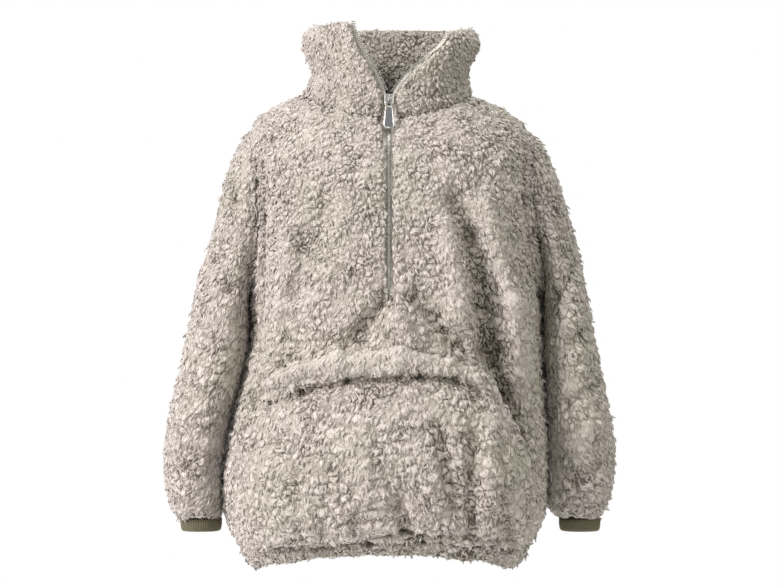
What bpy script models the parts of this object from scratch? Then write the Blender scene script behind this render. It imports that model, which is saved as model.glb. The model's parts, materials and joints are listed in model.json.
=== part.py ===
"""A half-zip fleece pullover, filled out as if worn, made from its cut pieces.

Run it with blender --background --python part.py, or from the text editor.
Tables are in millimetres. The model is in metres, +Z up, front facing -Y.
The origin is the middle of the neck opening, where the wearer carries it.
"""

import math

import bmesh
import bpy
import numpy as np

MM = 0.001

# Driving sizes
FLEECE = 8.0
SEAM = 0.3
RIB_KNIT = 3.0
TAPE = 1.2
TEETH = 2.6
SLIT_HALF = 7.5
TAPE_GAP_HALF = 0.7
TAPE_HIDDEN = 5.0
CHAIN_HALF = 2.7
SQUARENESS = 2.5
SHARP_DEGREES = 50

# Grid sizes of the panels
SIDE_COLUMNS = 12
TIP_ROW = 4
SLIT_ROW = 14
PIT_ROW = 16
HEM_ROW = 28

# Body sections: how far the ring's side, front and back lie below the neck, and its half sizes
BODY_COLUMNS = ("at", "side_z", "front_z", "back_z", "left", "right", "front", "back")
BODY_SECTIONS = (
    (0, 4, -26, 8, 106, 99, 78, 70),
    (2, -11, -58, -22, 141, 134, 98, 92),
    (4, -31, -90, -57, 164, 162, 110, 106),
    (7, -68, -124, -92, 167, 178, 116, 112),
    (10, -128, -164, -140, 168, 185, 118, 114),
    (14, -214, -234, -220, 166, 185, 120, 116),
    (16, -243, -262, -248, 163, 181, 121, 117),
    (18, -290, -302, -292, 162, 179, 122, 118),
    (20, -336, -342, -338, 172, 180, 126, 122),
    (22, -380, -382, -380, 183, 183, 131, 127),
    (24, -428, -428, -428, 193, 186, 135, 130),
    (26, -482, -474, -480, 195, 185, 133, 128),
    (27, -512, -498, -508, 190, 179, 128, 122),
    (28, -536, -517, -528, 177, 167, 119, 114),
)
ARMHOLE_DIP = 30.0
ARMHOLE_FULLNESS = 0.6

# The turned casing below the hem seam
HEM_SECTIONS = (
    (0, -536, -517, -528, 177, 167, 119, 114),
    (1, -550, -528, -541, 171, 160, 115, 110),
    (2, -562, -538, -552, 160, 148, 107, 103),
)
HEM_GATHERS = 14
HEM_GATHER_DEPTH = 2.6
HEM_GATHER_WANDER = 40.0
GATHER_FROM_ROW = 24

# Collar sections, from the neck seam to the top edge. The gaps are the zip edges' angles.
COLLAR_COLUMNS = (
    "at", "side_z", "front_left_z", "front_right_z", "back_z",
    "left", "right", "front", "back", "left_gap", "right_gap",
)
COLLAR_SECTIONS = (
    (0, 4, -26, -26, 8, 106, 99, 78, 70, 4.0, 4.3),
    (1, 15, -10, -10, 19, 97, 96, 78, 68, 4.5, 4.6),
    (2, 29, 8, 7, 33, 89, 93, 79, 68, 7.0, 7.0),
    (3, 43, 27, 24, 47, 93, 97, 80, 69, 12.0, 14.5),
    (4, 56, 47, 41, 61, 102, 106, 81, 71, 18.0, 25.0),
    (5, 69, 66, 54, 73, 104, 109, 81, 73, 23.0, 34.0),
    (6, 79, 82, 66, 82, 102, 107, 80, 73, 27.0, 41.0),
    (7, 85, 92, 73, 89, 97, 101, 78, 71, 29.0, 44.0),
)
COLLAR_COLUMNS_AROUND = 34
COLLAR_TOP_ROLL = 5.0

# Sleeve sections: the outline's outer and inner points and the half depth, from shoulder to cuff
SLEEVE_COLUMNS = (
    "outer_left", "outer_right", "outer_z", "inner_left", "inner_right", "inner_z", "depth",
)
SLEEVE_SECTIONS = (
    (176, 178, -46, 163.8, 181.8, -242.2, 63),
    (189, 193, -74, 164.7, 182.7, -242.2, 64),
    (198, 205, -108, 165.6, 183.6, -243.0, 65),
    (206, 216, -146, 166.4, 184.4, -245.5, 66),
    (217, 227, -184, 167.0, 185.4, -251.0, 66),
    (229, 233, -220, 167.5, 187.0, -262.0, 66),
    (234, 239, -254, 168.0, 188.5, -280.0, 65),
    (243, 245, -288, 170.0, 190.0, -304.0, 64),
    (248, 252, -324, 178.0, 191.0, -332.0, 64),
    (259, 260, -360, 187.5, 192.5, -362.0, 64),
    (265, 268, -396, 195.0, 193.0, -396.0, 63),
    (269, 270, -428, 200.0, 193.0, -428.0, 62),
    (268, 269, -456, 202.5, 193.0, -456.0, 60),
    (262, 263, -478, 203.0, 193.0, -478.0, 56),
    (256, 257, -493, 203.0, 197.0, -491.0, 48),
    (250, 250, -501, 203.5, 205.0, -498.0, 38),
)

# Knit cuffs: middle, half width and half depth at the seam and at the free edge
CUFF_COLUMNS = ("z", "left", "right", "width", "depth")
CUFF_SECTIONS = (
    (-501.5, 225.5, 228.5, 24.5, 35),
    (-508.5, 225.0, 229.0, 24.5, 35),
    (-516.0, 224.5, 229.5, 23.0, 33),
)

# Kangaroo pocket rows: side angles, the room under the cloth and the fold's extra height
POCKET_COLUMNS = ("at", "left", "right", "room", "ridge")
POCKET_ROWS = (
    (0.000, 45, 37, 0.0, 0.0),
    (0.045, 46, 38, 0.0, 8.0),
    (0.100, 47, 39, 1.0, 9.5),
    (0.155, 48, 41, 3.0, 1.0),
    (0.230, 49, 43, 7.0, 0.0),
    (0.330, 51, 46, 10.0, 0.0),
    (0.440, 53, 49, 11.5, 0.0),
    (0.550, 54, 51, 12.0, 0.0),
    (0.660, 55, 53, 11.5, 0.0),
    (0.770, 56, 54, 9.5, 0.0),
    (0.870, 57, 55, 6.0, 0.0),
    (0.945, 57, 56, 2.5, 0.0),
    (1.000, 57, 56, 0.0, 0.0),
)
POCKET_CELLS = 18
POCKET_TOP_ROW = 18.1
POCKET_TOP_BOW = 1.3
POCKET_MOUTH_SHARE = 0.7
POCKET_SEAT = 1.3

# Largest folds of the front and back: a line from one point to another, its width and height
FOLD_COLUMNS = ("x0", "z0", "x1", "z1", "width", "height")
FRONT_FOLDS = (
    (78, -125, 112, -215, 13, -6),
    (112, -215, 124, -300, 14, -9),
    (124, -300, 142, -365, 13, -6),
    (130, -120, 158, -300, 14, 5),
    (92, -140, 96, -260, 16, 4),
    (-10, -258, -44, -300, 12, -5),
    (34, -250, 84, -298, 12, -5),
    (8, -262, 22, -298, 16, 5),
    (-98, -165, -110, -238, 12, -4),
    (-58, -110, -52, -230, 20, 3),
    (64, -395, 76, -490, 10, -4),
    (96, -405, 98, -500, 10, -4),
    (-60, -400, -40, -505, 14, 4),
    (14, -470, 20, -515, 9, -5),
)
BACK_FOLDS = (
    (-30, -120, -70, -300, 14, -6),
    (-90, -150, -120, -330, 14, -6),
    (40, -110, 66, -290, 15, -7),
    (108, -160, 126, -330, 13, -5),
    (0, -150, 6, -330, 18, 5),
    (-20, -360, -36, -500, 12, -5),
    (58, -370, 74, -500, 12, -5),
    (110, -400, 112, -505, 10, -4),
    (-104, -390, -98, -505, 11, -4),
)
SEAM_FADE = 22.0
EDGE_FADE_ROWS = 1.5
ZIP_FLAT_HALF = 24.0
ZIP_FADE = 14.0

# Sleeve folds: where along the sleeve, where around it, sizes and slant. 0 is the outer edge.
SLEEVE_FOLD_COLUMNS = ("row", "around", "rows", "spread", "height", "slant")
SLEEVE_SETTLED_RING = 5
PIT_FADE = 60.0
SLEEVE_FOLDS = (
    (5.5, 80, 0.9, 45, -4.0, 0.020),
    (7.5, 110, 0.8, 45, 3.5, 0.020),
    (9.0, 70, 0.8, 40, -4.0, -0.015),
    (11.5, 120, 0.7, 40, -4.0, 0.015),
    (12.8, 60, 0.7, 45, -3.5, -0.010),
    (6.5, -90, 0.9, 45, -4.0, -0.020),
    (9.5, -110, 0.8, 45, 3.5, 0.015),
    (11.8, -70, 0.7, 45, -4.0, 0.010),
)

# Zip hardware, with the rows of the body and collar between which its pieces lie
TAPE_FOOT_ROW = SLIT_ROW + 0.6
CHAIN_FOOT_ROW = SLIT_ROW - 0.35
CHAIN_TOP = -1.98
OPEN_FROM = 1.86
SLIDER_ROW = 1.4
TAPE_OVER_TOP = 0.9
TEETH_OVER_TOP = 0.85
SLIDER_WIDTH = 11.0
SLIDER_TOP = 3.0
SLIDER_BOTTOM = -9.5
SLIDER_DEPTH = 5.6
SLIDER_BEVEL = 1.0
BRIDGE_RADIUS = 0.9
BRIDGE_RISE = 4.2
BRIDGE_REACH = 3.4
BRIDGE_POINTS = 13
TAB_THICK = 1.8
TAB_LEAN = 17.0
TAB_TOP_HALF = 4.2
TAB_FOOT_HALF = 6.5
TAB_ABOVE = 1.1
TAB_LENGTH = 37.0
TAB_SHOULDER = -8.0
TAB_TOP_CORNER = 1.2
TAB_FOOT_CORNERS = ((0.0, 5.0), (1.4, 1.2), (3.2, 0.0))
TAB_SLOT_HALF = 2.1
TAB_SLOT_TOP = -1.1
TAB_SLOT_FOOT = -8.6
STOP_HALF = 3.4
STOP_RISE = 0.6
STOP_BELOW = 2.4
STOP_CLEAR = 0.1
STOP_BEVEL = 0.4

# Colours, roughness and metallic of what each piece is made of
FINISHES = {
    "sherpa_fleece": ((0.50, 0.46, 0.40), 0.95, 0.0),
    "rib_knit": ((0.20, 0.19, 0.15), 0.90, 0.0),
    "woven_tape": ((0.42, 0.41, 0.36), 0.80, 0.0),
    "nickel_plate": ((0.55, 0.54, 0.52), 0.30, 1.0),
}

garment = bpy.data.collections.new("half_zip_fleece_pullover")
cutters = bpy.data.collections.new("cutters")


def clear_scene():
    for thing in list(bpy.data.objects):
        bpy.data.objects.remove(thing, do_unlink=True)
    bpy.context.scene.collection.children.link(garment)
    bpy.context.scene.collection.children.link(cutters)


def finish(name):
    found = bpy.data.materials.get(name)
    if found:
        return found
    colour, roughness, metallic = FINISHES[name]
    made = bpy.data.materials.new(name)
    made.use_nodes = True
    shader = made.node_tree.nodes["Principled BSDF"]
    shader.inputs["Base Color"].default_value = (*colour, 1)
    shader.inputs["Roughness"].default_value = roughness
    shader.inputs["Metallic"].default_value = metallic
    return made


def column(table, columns, name):
    return np.array([row[columns.index(name)] for row in table], float)


def smooth(at, keys, values):
    """A soft curve through the table's values, read at one place."""
    slopes = np.gradient(values, keys)
    k = int(np.clip(np.searchsorted(keys, at, side="right") - 1, 0, len(keys) - 2))
    step = keys[k + 1] - keys[k]
    t = (at - keys[k]) / step
    return (
        (2 * t**3 - 3 * t**2 + 1) * values[k]
        + (t**3 - 2 * t**2 + t) * step * slopes[k]
        + (3 * t**2 - 2 * t**3) * values[k + 1]
        + (t**3 - t**2) * step * slopes[k + 1]
    )


def read_row(table, columns, at):
    keys = column(table, columns, "at")
    return {
        name: smooth(at, keys, column(table, columns, name))
        for name in columns
        if name != "at"
    }


def rounded(angle):
    """Across and ahead on a soft-cornered ring, with 0 degrees at the front."""
    across = math.sin(math.radians(angle))
    ahead = math.cos(math.radians(angle))
    reach = (abs(across) ** SQUARENESS + abs(ahead) ** SQUARENESS) ** (-1 / SQUARENESS)
    return across * reach, ahead * reach


def ring_point(row, angle):
    """A point of a ring whose side, front and back hang at their own heights."""
    across, ahead = rounded(angle)
    blend = math.cos(math.radians(angle)) ** 2
    half = row["right"] if across > 0 else row["left"]
    if ahead > 0:
        middle = row.get("front_z")
        if middle is None:
            middle = row["front_right_z"] if across > 0 else row["front_left_z"]
        return np.array(
            (across * half, -ahead * row["front"], row["side_z"] + (middle - row["side_z"]) * blend)
        )
    return np.array(
        (across * half, -ahead * row["back"], row["side_z"] + (row["back_z"] - row["side_z"]) * blend)
    )


def body_point(at, angle):
    return ring_point(read_row(BODY_SECTIONS, BODY_COLUMNS, at), angle)


def unit(vector):
    return vector / np.linalg.norm(vector)


def body_normal(at, angle):
    """Outward, from small steps around and down the body."""
    around = body_point(at, angle + 0.5) - body_point(at, angle - 0.5)
    low, high = max(at - 0.1, 0), min(at + 0.1, HEM_ROW)
    down = body_point(high, angle) - body_point(low, angle)
    return unit(np.cross(down, around))


def near_line(x, z, fold):
    """1 on the fold's line, falling softly to 0 beside it and past its ends."""
    start = np.array((fold["x0"], fold["z0"]))
    along = np.array((fold["x1"], fold["z1"])) - start
    from_start = np.array((x, z)) - start
    t = np.clip(from_start @ along / (along @ along), 0, 1)
    away = np.linalg.norm(from_start - t * along)
    return math.exp(-((away / fold["width"]) ** 2))


def fold_height(at, angle):
    """How far the folds lift or sink the cloth, fading out at the seams."""
    front = abs(angle) <= 90
    point = body_point(at, angle)
    folds = FRONT_FOLDS if front else BACK_FOLDS
    height = 0.0
    for row in folds:
        fold = dict(zip(FOLD_COLUMNS, row))
        height += fold["height"] * near_line(point[0], point[2], fold)
    fade = np.clip(abs(90 - abs(angle)) / SEAM_FADE, 0, 1)
    fade *= np.clip(min(at, HEM_ROW - at) / EDGE_FADE_ROWS, 0, 1)
    if front:
        from_zip = max((abs(point[0]) - ZIP_FLAT_HALF) / ZIP_FADE, at - SLIT_ROW - 1)
        fade *= np.clip(from_zip, 0, 1)
    return height * fade + gather(at, angle)


def gather(at, angle):
    """The elastic's small pleats, which start above the hem seam and die out upwards."""
    strength = np.clip((at - GATHER_FROM_ROW) / (HEM_ROW - GATHER_FROM_ROW), 0, 1) ** 1.5
    wander = HEM_GATHER_WANDER * math.sin(math.radians(3 * angle))
    wave = math.sin(math.radians(angle * HEM_GATHERS + wander))
    side = abs(math.cos(math.radians(angle)))
    return HEM_GATHER_DEPTH * strength * wave * min(1, side * 4)


def armhole_angle(at):
    """Where a panel ends: at the shoulder and side seams, or drawn in along the armhole."""
    share = (at - TIP_ROW) / (PIT_ROW - TIP_ROW)
    if not 0 < share < 1:
        return 90.0
    return 90 - ARMHOLE_DIP * math.sin(math.pi * share) ** ARMHOLE_FULLNESS


def on_body(at, angle, lift):
    """A point moved out from the body's cloth, folds included."""
    return body_point(at, angle) + body_normal(at, angle) * (fold_height(at, angle) + lift)


def slit_angle(at):
    row = read_row(BODY_SECTIONS, BODY_COLUMNS, at)
    return math.degrees(math.asin(SLIT_HALF / (0.5 * (row["left"] + row["right"]))))


def rim(mesh, a, b, c, d):
    """A twisted edge face, split along its shorter diagonal so that both sides of a seam agree."""
    if (a.co - c.co).length < (b.co - d.co).length:
        corners = ((b, a, c), (a, d, c))
    else:
        corners = ((b, a, d), (b, d, c))
    for face in corners:
        mesh.faces.new(face)


def grid_mesh(name, outer, inner, material, keep=None, closed=False):
    """A cloth wall between two grids of points, with a rim along every free edge."""
    rows, columns = outer.shape[:2]
    mesh = bmesh.new()
    used = {}

    def vertex(skin, r, c):
        key = (skin, r, c % columns)
        if key not in used:
            used[key] = mesh.verts.new((outer, inner)[skin][r, c % columns] * MM)
        return used[key]

    last = columns if closed else columns - 1
    kept = {
        (r, c)
        for r in range(rows - 1)
        for c in range(last)
        if keep is None or keep(r, c)
    }
    for r, c in sorted(kept):
        mesh.faces.new([vertex(0, *p) for p in ((r, c), (r + 1, c), (r + 1, c + 1), (r, c + 1))])
        mesh.faces.new([vertex(1, *p) for p in ((r, c), (r, c + 1), (r + 1, c + 1), (r + 1, c))])
        sides = (
            ((r - 1, c), (r, c + 1), (r, c)),
            ((r + 1, c), (r + 1, c), (r + 1, c + 1)),
            ((r, c - 1), (r, c), (r + 1, c)),
            ((r, c + 1), (r + 1, c + 1), (r, c + 1)),
        )
        for (nr, nc), a, b in sides:
            neighbour = (nr, nc % columns) if closed else (nr, nc)
            if neighbour not in kept:
                rim(mesh, vertex(0, *a), vertex(0, *b), vertex(1, *b), vertex(1, *a))
    bmesh.ops.recalc_face_normals(mesh, faces=mesh.faces)
    if mesh.calc_volume(signed=True) < 0:
        bmesh.ops.reverse_faces(mesh, faces=mesh.faces)
    data = bpy.data.meshes.new(name)
    mesh.to_mesh(data)
    mesh.free()
    data.materials.append(finish(material))
    data.shade_smooth()
    data.set_sharp_from_angle(angle=math.radians(SHARP_DEGREES))
    made = bpy.data.objects.new(name, data)
    garment.objects.link(made)
    return made


def panel_angles(at, front):
    """Where the columns of a panel lie on one of its rows."""
    edge = armhole_angle(at)
    if front:
        start = slit_angle(at)
        half = [start + (edge - start) * j / SIDE_COLUMNS for j in range(SIDE_COLUMNS + 1)]
        return [-a for a in reversed(half)] + half
    step = edge / SIDE_COLUMNS
    return [180 - (edge - step * j) for j in range(2 * SIDE_COLUMNS + 1)]


def panel(name, front):
    """Front or back: the wall between its shoulder, armhole, side and hem seams."""
    outer, inner = [], []
    for at in range(HEM_ROW + 1):
        angles = panel_angles(at, front)
        walls = ([], [])
        for k, angle in enumerate(angles):
            normal = body_normal(at, angle)
            point = body_point(at, angle) + normal * fold_height(at, angle)
            on_seam = k in (0, len(angles) - 1) and armhole_angle(at) == 90
            for skin, depth in enumerate((0, FLEECE)):
                place = point - normal * depth
                if on_seam:
                    place[1] = -SEAM / 2 if front else SEAM / 2
                walls[skin].append(place)
        outer.append(walls[0])
        inner.append(walls[1])
    outer, inner = np.array(outer), np.array(inner)
    centre = SIDE_COLUMNS

    def keep(r, c):
        return not front or c != centre or r >= SLIT_ROW

    grid_mesh(name, outer, inner, "sherpa_fleece", keep)
    return outer, inner


def armhole_loop(front, back, side):
    """The armhole's edge from shoulder tip down the front to the armpit and up the back."""
    first, last = (0, -1) if side < 0 else (-1, 0)
    down = front[TIP_ROW : PIT_ROW + 1, first].copy()
    up = back[TIP_ROW : PIT_ROW + 1, last].copy()
    tip, pit = (down[0] + up[0]) / 2, (down[-1] + up[-1]) / 2
    return np.array([tip, *down[1:-1], pit, *up[-2:0:-1]])


def sleeve_fold(row, around):
    height = 0.0
    for values in SLEEVE_FOLDS:
        fold = dict(zip(SLEEVE_FOLD_COLUMNS, values))
        turned = (around - fold["around"] + 180) % 360 - 180
        lengthways = (row - fold["row"] - fold["slant"] * turned) / fold["rows"]
        height += fold["height"] * math.exp(-(lengthways**2) - (turned / fold["spread"]) ** 2)
    return height


def seam_shift(edge, lining):
    """From the panels' cut edge to the sleeve's: square to the edge, within the cloth."""
    along = np.roll(edge, -1, axis=0) - np.roll(edge, 1, axis=0)
    across = np.cross(along, edge - lining)
    across /= np.linalg.norm(across, axis=1)[:, None]
    into_hole = (edge.mean(axis=0) - edge)[len(edge) // 4]
    if across[len(edge) // 4] @ into_hole < 0:
        across = -across
    return across * SEAM


def sleeve(name, loops, side):
    """A tube from the armhole to the cuff, fanned round the armpit."""
    edge, lining = loops
    count = len(edge)
    tip, pit = edge[0], edge[count // 2]
    axis = (tip - pit) / 2
    middle = (tip + pit) / 2
    along = (edge - middle) @ axis / (axis @ axis)
    aside = edge - middle - np.outer(along, axis)
    depth = abs(aside[:, 1]).max()
    shift = seam_shift(edge, lining)
    rings = [edge + shift]
    columns = {name: column(SLEEVE_SECTIONS, SLEEVE_COLUMNS, name) for name in SLEEVE_COLUMNS}
    hand = "left" if side < 0 else "right"
    for k in range(len(SLEEVE_SECTIONS)):
        top = np.array((side * columns["outer_" + hand][k], 0, columns["outer_z"][k]))
        under = np.array((side * columns["inner_" + hand][k], 0, columns["inner_z"][k]))
        settled = min(1, (k + 1) / SLEEVE_SETTLED_RING)
        ring = []
        for i in range(count):
            turn = 360 * i / count
            across, ahead = rounded(turn)
            c = (1 - settled) * along[i] + settled * ahead
            s = (1 - settled) * -aside[i, 1] / depth + settled * across
            bulge = (1 - settled) * aside[i, 0]
            place = (top + under) / 2 + (top - under) / 2 * c
            place = place + np.array((bulge, -s * columns["depth"][k], 0))
            ring.append(place)
        rings.append(np.array(ring))
    outer = np.array(rings)
    rows = len(outer)
    normals = np.zeros_like(outer)
    for r in range(rows):
        for i in range(count):
            down = outer[min(r + 1, rows - 1), i] - outer[max(r - 1, 0), i]
            around = outer[r, (i + 1) % count] - outer[r, i - 1]
            normals[r, i] = unit(np.cross(down, around)) * -side
    inner = outer - normals * FLEECE
    inner[0] = lining + shift
    for r in range(2, rows - 1):
        for i in range(count):
            turn = (360 * i / count + 180) % 360 - 180
            lift = sleeve_fold(r, turn) * min(1, abs(180 - abs(turn)) / PIT_FADE)
            outer[r, i] += normals[r, i] * lift
            inner[r, i] += normals[r, i] * lift
    grid_mesh(name, outer, inner, "sherpa_fleece", closed=True)


def cuff(name, side):
    """A short tube of rib knit under the sleeve's gathered end."""
    hand = "left" if side < 0 else "right"
    count = 2 * (PIT_ROW - TIP_ROW)
    outer, inner = [], []
    for row in CUFF_SECTIONS:
        values = dict(zip(CUFF_COLUMNS, row))
        centre = np.array((side * values[hand], 0, values["z"]))
        walls = ([], [])
        for i in range(count):
            across, ahead = rounded(360 * i / count)
            for skin, less in enumerate((0, RIB_KNIT)):
                reach = (ahead * (values["width"] - less), -across * (values["depth"] - less), 0)
                walls[skin].append(centre + np.array(reach))
        outer.append(walls[0])
        inner.append(walls[1])
    grid_mesh(name, np.array(outer), np.array(inner), "rib_knit", closed=True)


def hem_band():
    """The casing: a gathered ring under both panels, tucked in by its elastic."""
    angles = panel_angles(HEM_ROW, True)[:-1] + panel_angles(HEM_ROW, False)[:-1]
    outer, inner = [], []
    for k in range(len(HEM_SECTIONS)):
        row = read_row(HEM_SECTIONS, BODY_COLUMNS, k)
        walls = ([], [])
        for angle in angles:
            if k == 0:
                normal = body_normal(HEM_ROW, angle)
                point = body_point(HEM_ROW, angle) - np.array((0, 0, SEAM))
            else:
                start = ring_point(read_row(HEM_SECTIONS, BODY_COLUMNS, k - 1), angle)
                point = ring_point(row, angle)
                near = ring_point(row, angle + 0.5) - ring_point(row, angle - 0.5)
                normal = unit(np.cross(point - start, near))
            wave = gather(HEM_ROW, angle)
            walls[0].append(point + normal * wave)
            walls[1].append(point + normal * (wave - FLEECE))
        outer.append(walls[0])
        inner.append(walls[1])
    grid_mesh("hem_band", np.array(outer), np.array(inner), "sherpa_fleece", closed=True)


def collar_point(at, angle, lift):
    """A point of the collar's ring, moved level outwards."""
    row = read_row(COLLAR_SECTIONS, COLLAR_COLUMNS, at)
    around = ring_point(row, angle + 0.5) - ring_point(row, angle - 0.5)
    level = unit(np.array((-around[1], around[0], 0)))
    point = ring_point(row, angle)
    if level @ np.array((point[0], point[1], 0)) < 0:
        level = -level
    return point + level * lift


def collar_gap(at, side):
    row = read_row(COLLAR_SECTIONS, COLLAR_COLUMNS, at)
    return row["left_gap"] if side < 0 else row["right_gap"]


def collar_angles(at):
    """From the right zip edge round the back to the left one, with a column over each tape's edge."""
    row = read_row(COLLAR_SECTIONS, COLLAR_COLUMNS, at)
    ends = [row["right_gap"], 360 - row["left_gap"]]
    over_tape = [math.degrees(TAPE_HIDDEN / row["right"]), -math.degrees(TAPE_HIDDEN / row["left"])]
    start, end = ends[0] + over_tape[0], ends[1] + over_tape[1]
    cells = COLLAR_COLUMNS_AROUND
    between = [start + (end - start) * j / cells for j in range(cells + 1)]
    return [a if a <= 180 else a - 360 for a in (ends[0], *between, ends[1])]


def collar(name, near, far, roll_outer, roll_inner):
    """One fleece layer of the stand collar, from one zip edge round the back to the other."""
    outer, inner = [], []
    top = len(COLLAR_SECTIONS) - 1
    for at in range(top + 1):
        rolled = max(0, (at - top + 2) / 2) ** 2 * COLLAR_TOP_ROLL
        walls = ([], [])
        for angle in collar_angles(at):
            lift = np.array((0, 0, SEAM if at == 0 else 0))
            walls[0].append(collar_point(at, angle, -near - rolled * roll_outer) + lift)
            walls[1].append(collar_point(at, angle, -far + rolled * roll_inner) + lift)
        outer.append(walls[0])
        inner.append(walls[1])
    grid_mesh(name, np.array(outer), np.array(inner), "sherpa_fleece")


def pocket():
    """The kangaroo pocket: the front's own points moved out, puffed, with a padded top fold."""
    keys = column(POCKET_ROWS, POCKET_COLUMNS, "at")
    outer, inner = [], []
    for share in keys:
        row = read_row(POCKET_ROWS, POCKET_COLUMNS, share)
        walls = ([], [])
        for j in range(POCKET_CELLS + 1):
            place = 2 * j / POCKET_CELLS - 1
            top = POCKET_TOP_ROW + POCKET_TOP_BOW * place**2
            at = top + (HEM_ROW - 0.05 - top) * share
            angle = place * (row["right"] if place > 0 else row["left"])
            room = row["room"] * (1 - (1 - POCKET_MOUTH_SHARE) * place**2)
            walls[0].append(on_body(at, angle, POCKET_SEAT + room + FLEECE + row["ridge"]))
            walls[1].append(on_body(at, angle, POCKET_SEAT + room))
        outer.append(walls[0])
        inner.append(walls[1])
    grid_mesh("pocket", np.array(outer), np.array(inner), "sherpa_fleece")


def zip_place(at, side, away, depth):
    """A point beside the zip: at is a body row, or a collar row counted down from -1."""
    if at >= 0:
        row = read_row(BODY_SECTIONS, BODY_COLUMNS, at)
        half = row["right"] if side > 0 else row["left"]
        angle = side * math.degrees(math.asin(away / half))
        return on_body(at, angle, -depth)
    up = -1 - at
    row = read_row(COLLAR_SECTIONS, COLLAR_COLUMNS, up)
    half = row["right"] if side > 0 else row["left"]
    angle = side * (collar_gap(up, side) + math.degrees((away - SLIT_HALF) / half))
    return collar_point(up, angle, -depth) + np.array((0, 0, SEAM))


def zip_strip(name, rows, side, across, depths, material):
    """A strip along the zip: its rows, its reach from the middle line and its two depths."""
    outer = [[zip_place(at, side, away, depths[0]) for away in across] for at in rows]
    inner = [[zip_place(at, side, away, depths[1]) for away in across] for at in rows]
    grid_mesh(name, np.array(outer), np.array(inner), material)


def zip_pieces():
    """Tapes behind the slit, closed teeth below the slider and open teeth above it."""
    collar_top = len(COLLAR_SECTIONS) - 1
    tape_near = FLEECE + SEAM
    tape_far = tape_near + TAPE
    teeth_near = FLEECE - TEETH
    body_rows = [TAPE_FOOT_ROW, *range(SLIT_ROW, -1, -1)]
    collar_rows = [*range(-1, -1 - collar_top, -1), -collar_top - TAPE_OVER_TOP]
    open_rows = [-1 - OPEN_FROM, *range(-3, -1 - collar_top, -1), -collar_top - TEETH_OVER_TOP]
    for side, hand in ((-1, "left"), (1, "right")):
        across = (TAPE_GAP_HALF, SLIT_HALF, SLIT_HALF + TAPE_HIDDEN)
        zip_strip(
            "zip_tape_" + hand, [*body_rows, *collar_rows], side,
            across, (tape_near, tape_far), "woven_tape",
        )
        zip_strip(
            "zip_teeth_" + hand, open_rows, side,
            (TAPE_GAP_HALF, TAPE_GAP_HALF + CHAIN_HALF), (teeth_near, FLEECE), "nickel_plate",
        )
    chain(teeth_near)


def chain(teeth_near):
    """The closed teeth: one bar over both tapes, up to the slider's foot."""
    rows = [CHAIN_FOOT_ROW, *range(SLIT_ROW - 1, -2, -1), CHAIN_TOP]
    outer, inner = [], []
    for at in rows:
        walls = ([], [])
        for side in (-1, 1):
            for skin, depth in enumerate((teeth_near, FLEECE)):
                walls[skin].append(zip_place(at, side, CHAIN_HALF, depth))
        outer.append(walls[0])
        inner.append(walls[1])
    grid_mesh("zip_chain", np.array(outer), np.array(inner), "nickel_plate")


def block(name, low, high, bevel):
    """A bevelled box between two corners."""
    low, high = np.array(low) * MM, np.array(high) * MM
    bpy.ops.mesh.primitive_cube_add(size=1, location=(low + high) / 2)
    made = bpy.context.object
    made.scale = high - low
    bpy.ops.object.transform_apply(location=False, rotation=False, scale=True)
    made.name = made.data.name = name
    for holder in list(made.users_collection):
        holder.objects.unlink(made)
    garment.objects.link(made)
    rounding = made.modifiers.new("edges", "BEVEL")
    rounding.width = bevel * MM
    rounding.segments = 2
    return made


def mesh_from_curve(curve, name):
    """The curve as a closed mesh that a Boolean can use."""
    bpy.context.view_layer.update()
    ready = curve.evaluated_get(bpy.context.evaluated_depsgraph_get())
    data = bpy.data.meshes.new_from_object(ready)
    weld = bmesh.new()
    weld.from_mesh(data)
    bmesh.ops.remove_doubles(weld, verts=weld.verts, dist=0.00001)
    weld.to_mesh(data)
    weld.free()
    made = bpy.data.objects.new(name, data)
    made.matrix_world = curve.matrix_world
    bpy.data.objects.remove(curve, do_unlink=True)
    return made


def slider_middle():
    """The slider's back, just clear of the tapes at its height."""
    return zip_place(-1 - SLIDER_ROW, 1, TAPE_GAP_HALF, FLEECE + SEAM)[1] - 2 * SEAM


def pivot():
    """The pull's axis, held under the bridge."""
    front = slider_middle() - SLIDER_DEPTH
    return np.array((0, front - BRIDGE_REACH + BRIDGE_RADIUS, (SLIDER_TOP + SLIDER_BOTTOM) / 2))


def zip_slider():
    """The slider's body with the small bridge that carries the pull."""
    back = slider_middle()
    front = back - SLIDER_DEPTH
    body = block(
        "zip_slider",
        (-SLIDER_WIDTH / 2, front, SLIDER_BOTTOM),
        (SLIDER_WIDTH / 2, back, SLIDER_TOP),
        SLIDER_BEVEL,
    )
    body.data.materials.append(finish("nickel_plate"))
    axis = pivot()
    path = bpy.data.curves.new("bridge", "CURVE")
    path.dimensions = "3D"
    path.bevel_depth = BRIDGE_RADIUS * MM
    path.bevel_resolution = 3
    path.use_fill_caps = True
    line = path.splines.new("POLY")
    line.points.add(BRIDGE_POINTS - 1)
    root = front + BRIDGE_RADIUS
    for k, point in enumerate(line.points):
        turn = math.pi * k / (BRIDGE_POINTS - 1)
        reach = root - (root - (axis[1] - BRIDGE_REACH)) * math.sin(turn)
        point.co = (0, reach * MM, (axis[2] + BRIDGE_RISE * math.cos(turn)) * MM, 1)
    curve = bpy.data.objects.new("bridge_curve", path)
    cutters.objects.link(curve)
    bridge = mesh_from_curve(curve, "bridge")
    bridge.hide_render = True
    bridge.display_type = "WIRE"
    cutters.objects.link(bridge)
    join = body.modifiers.new("bridge", "BOOLEAN")
    join.operation = "UNION"
    join.solver = "EXACT"
    join.object = bridge


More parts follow.
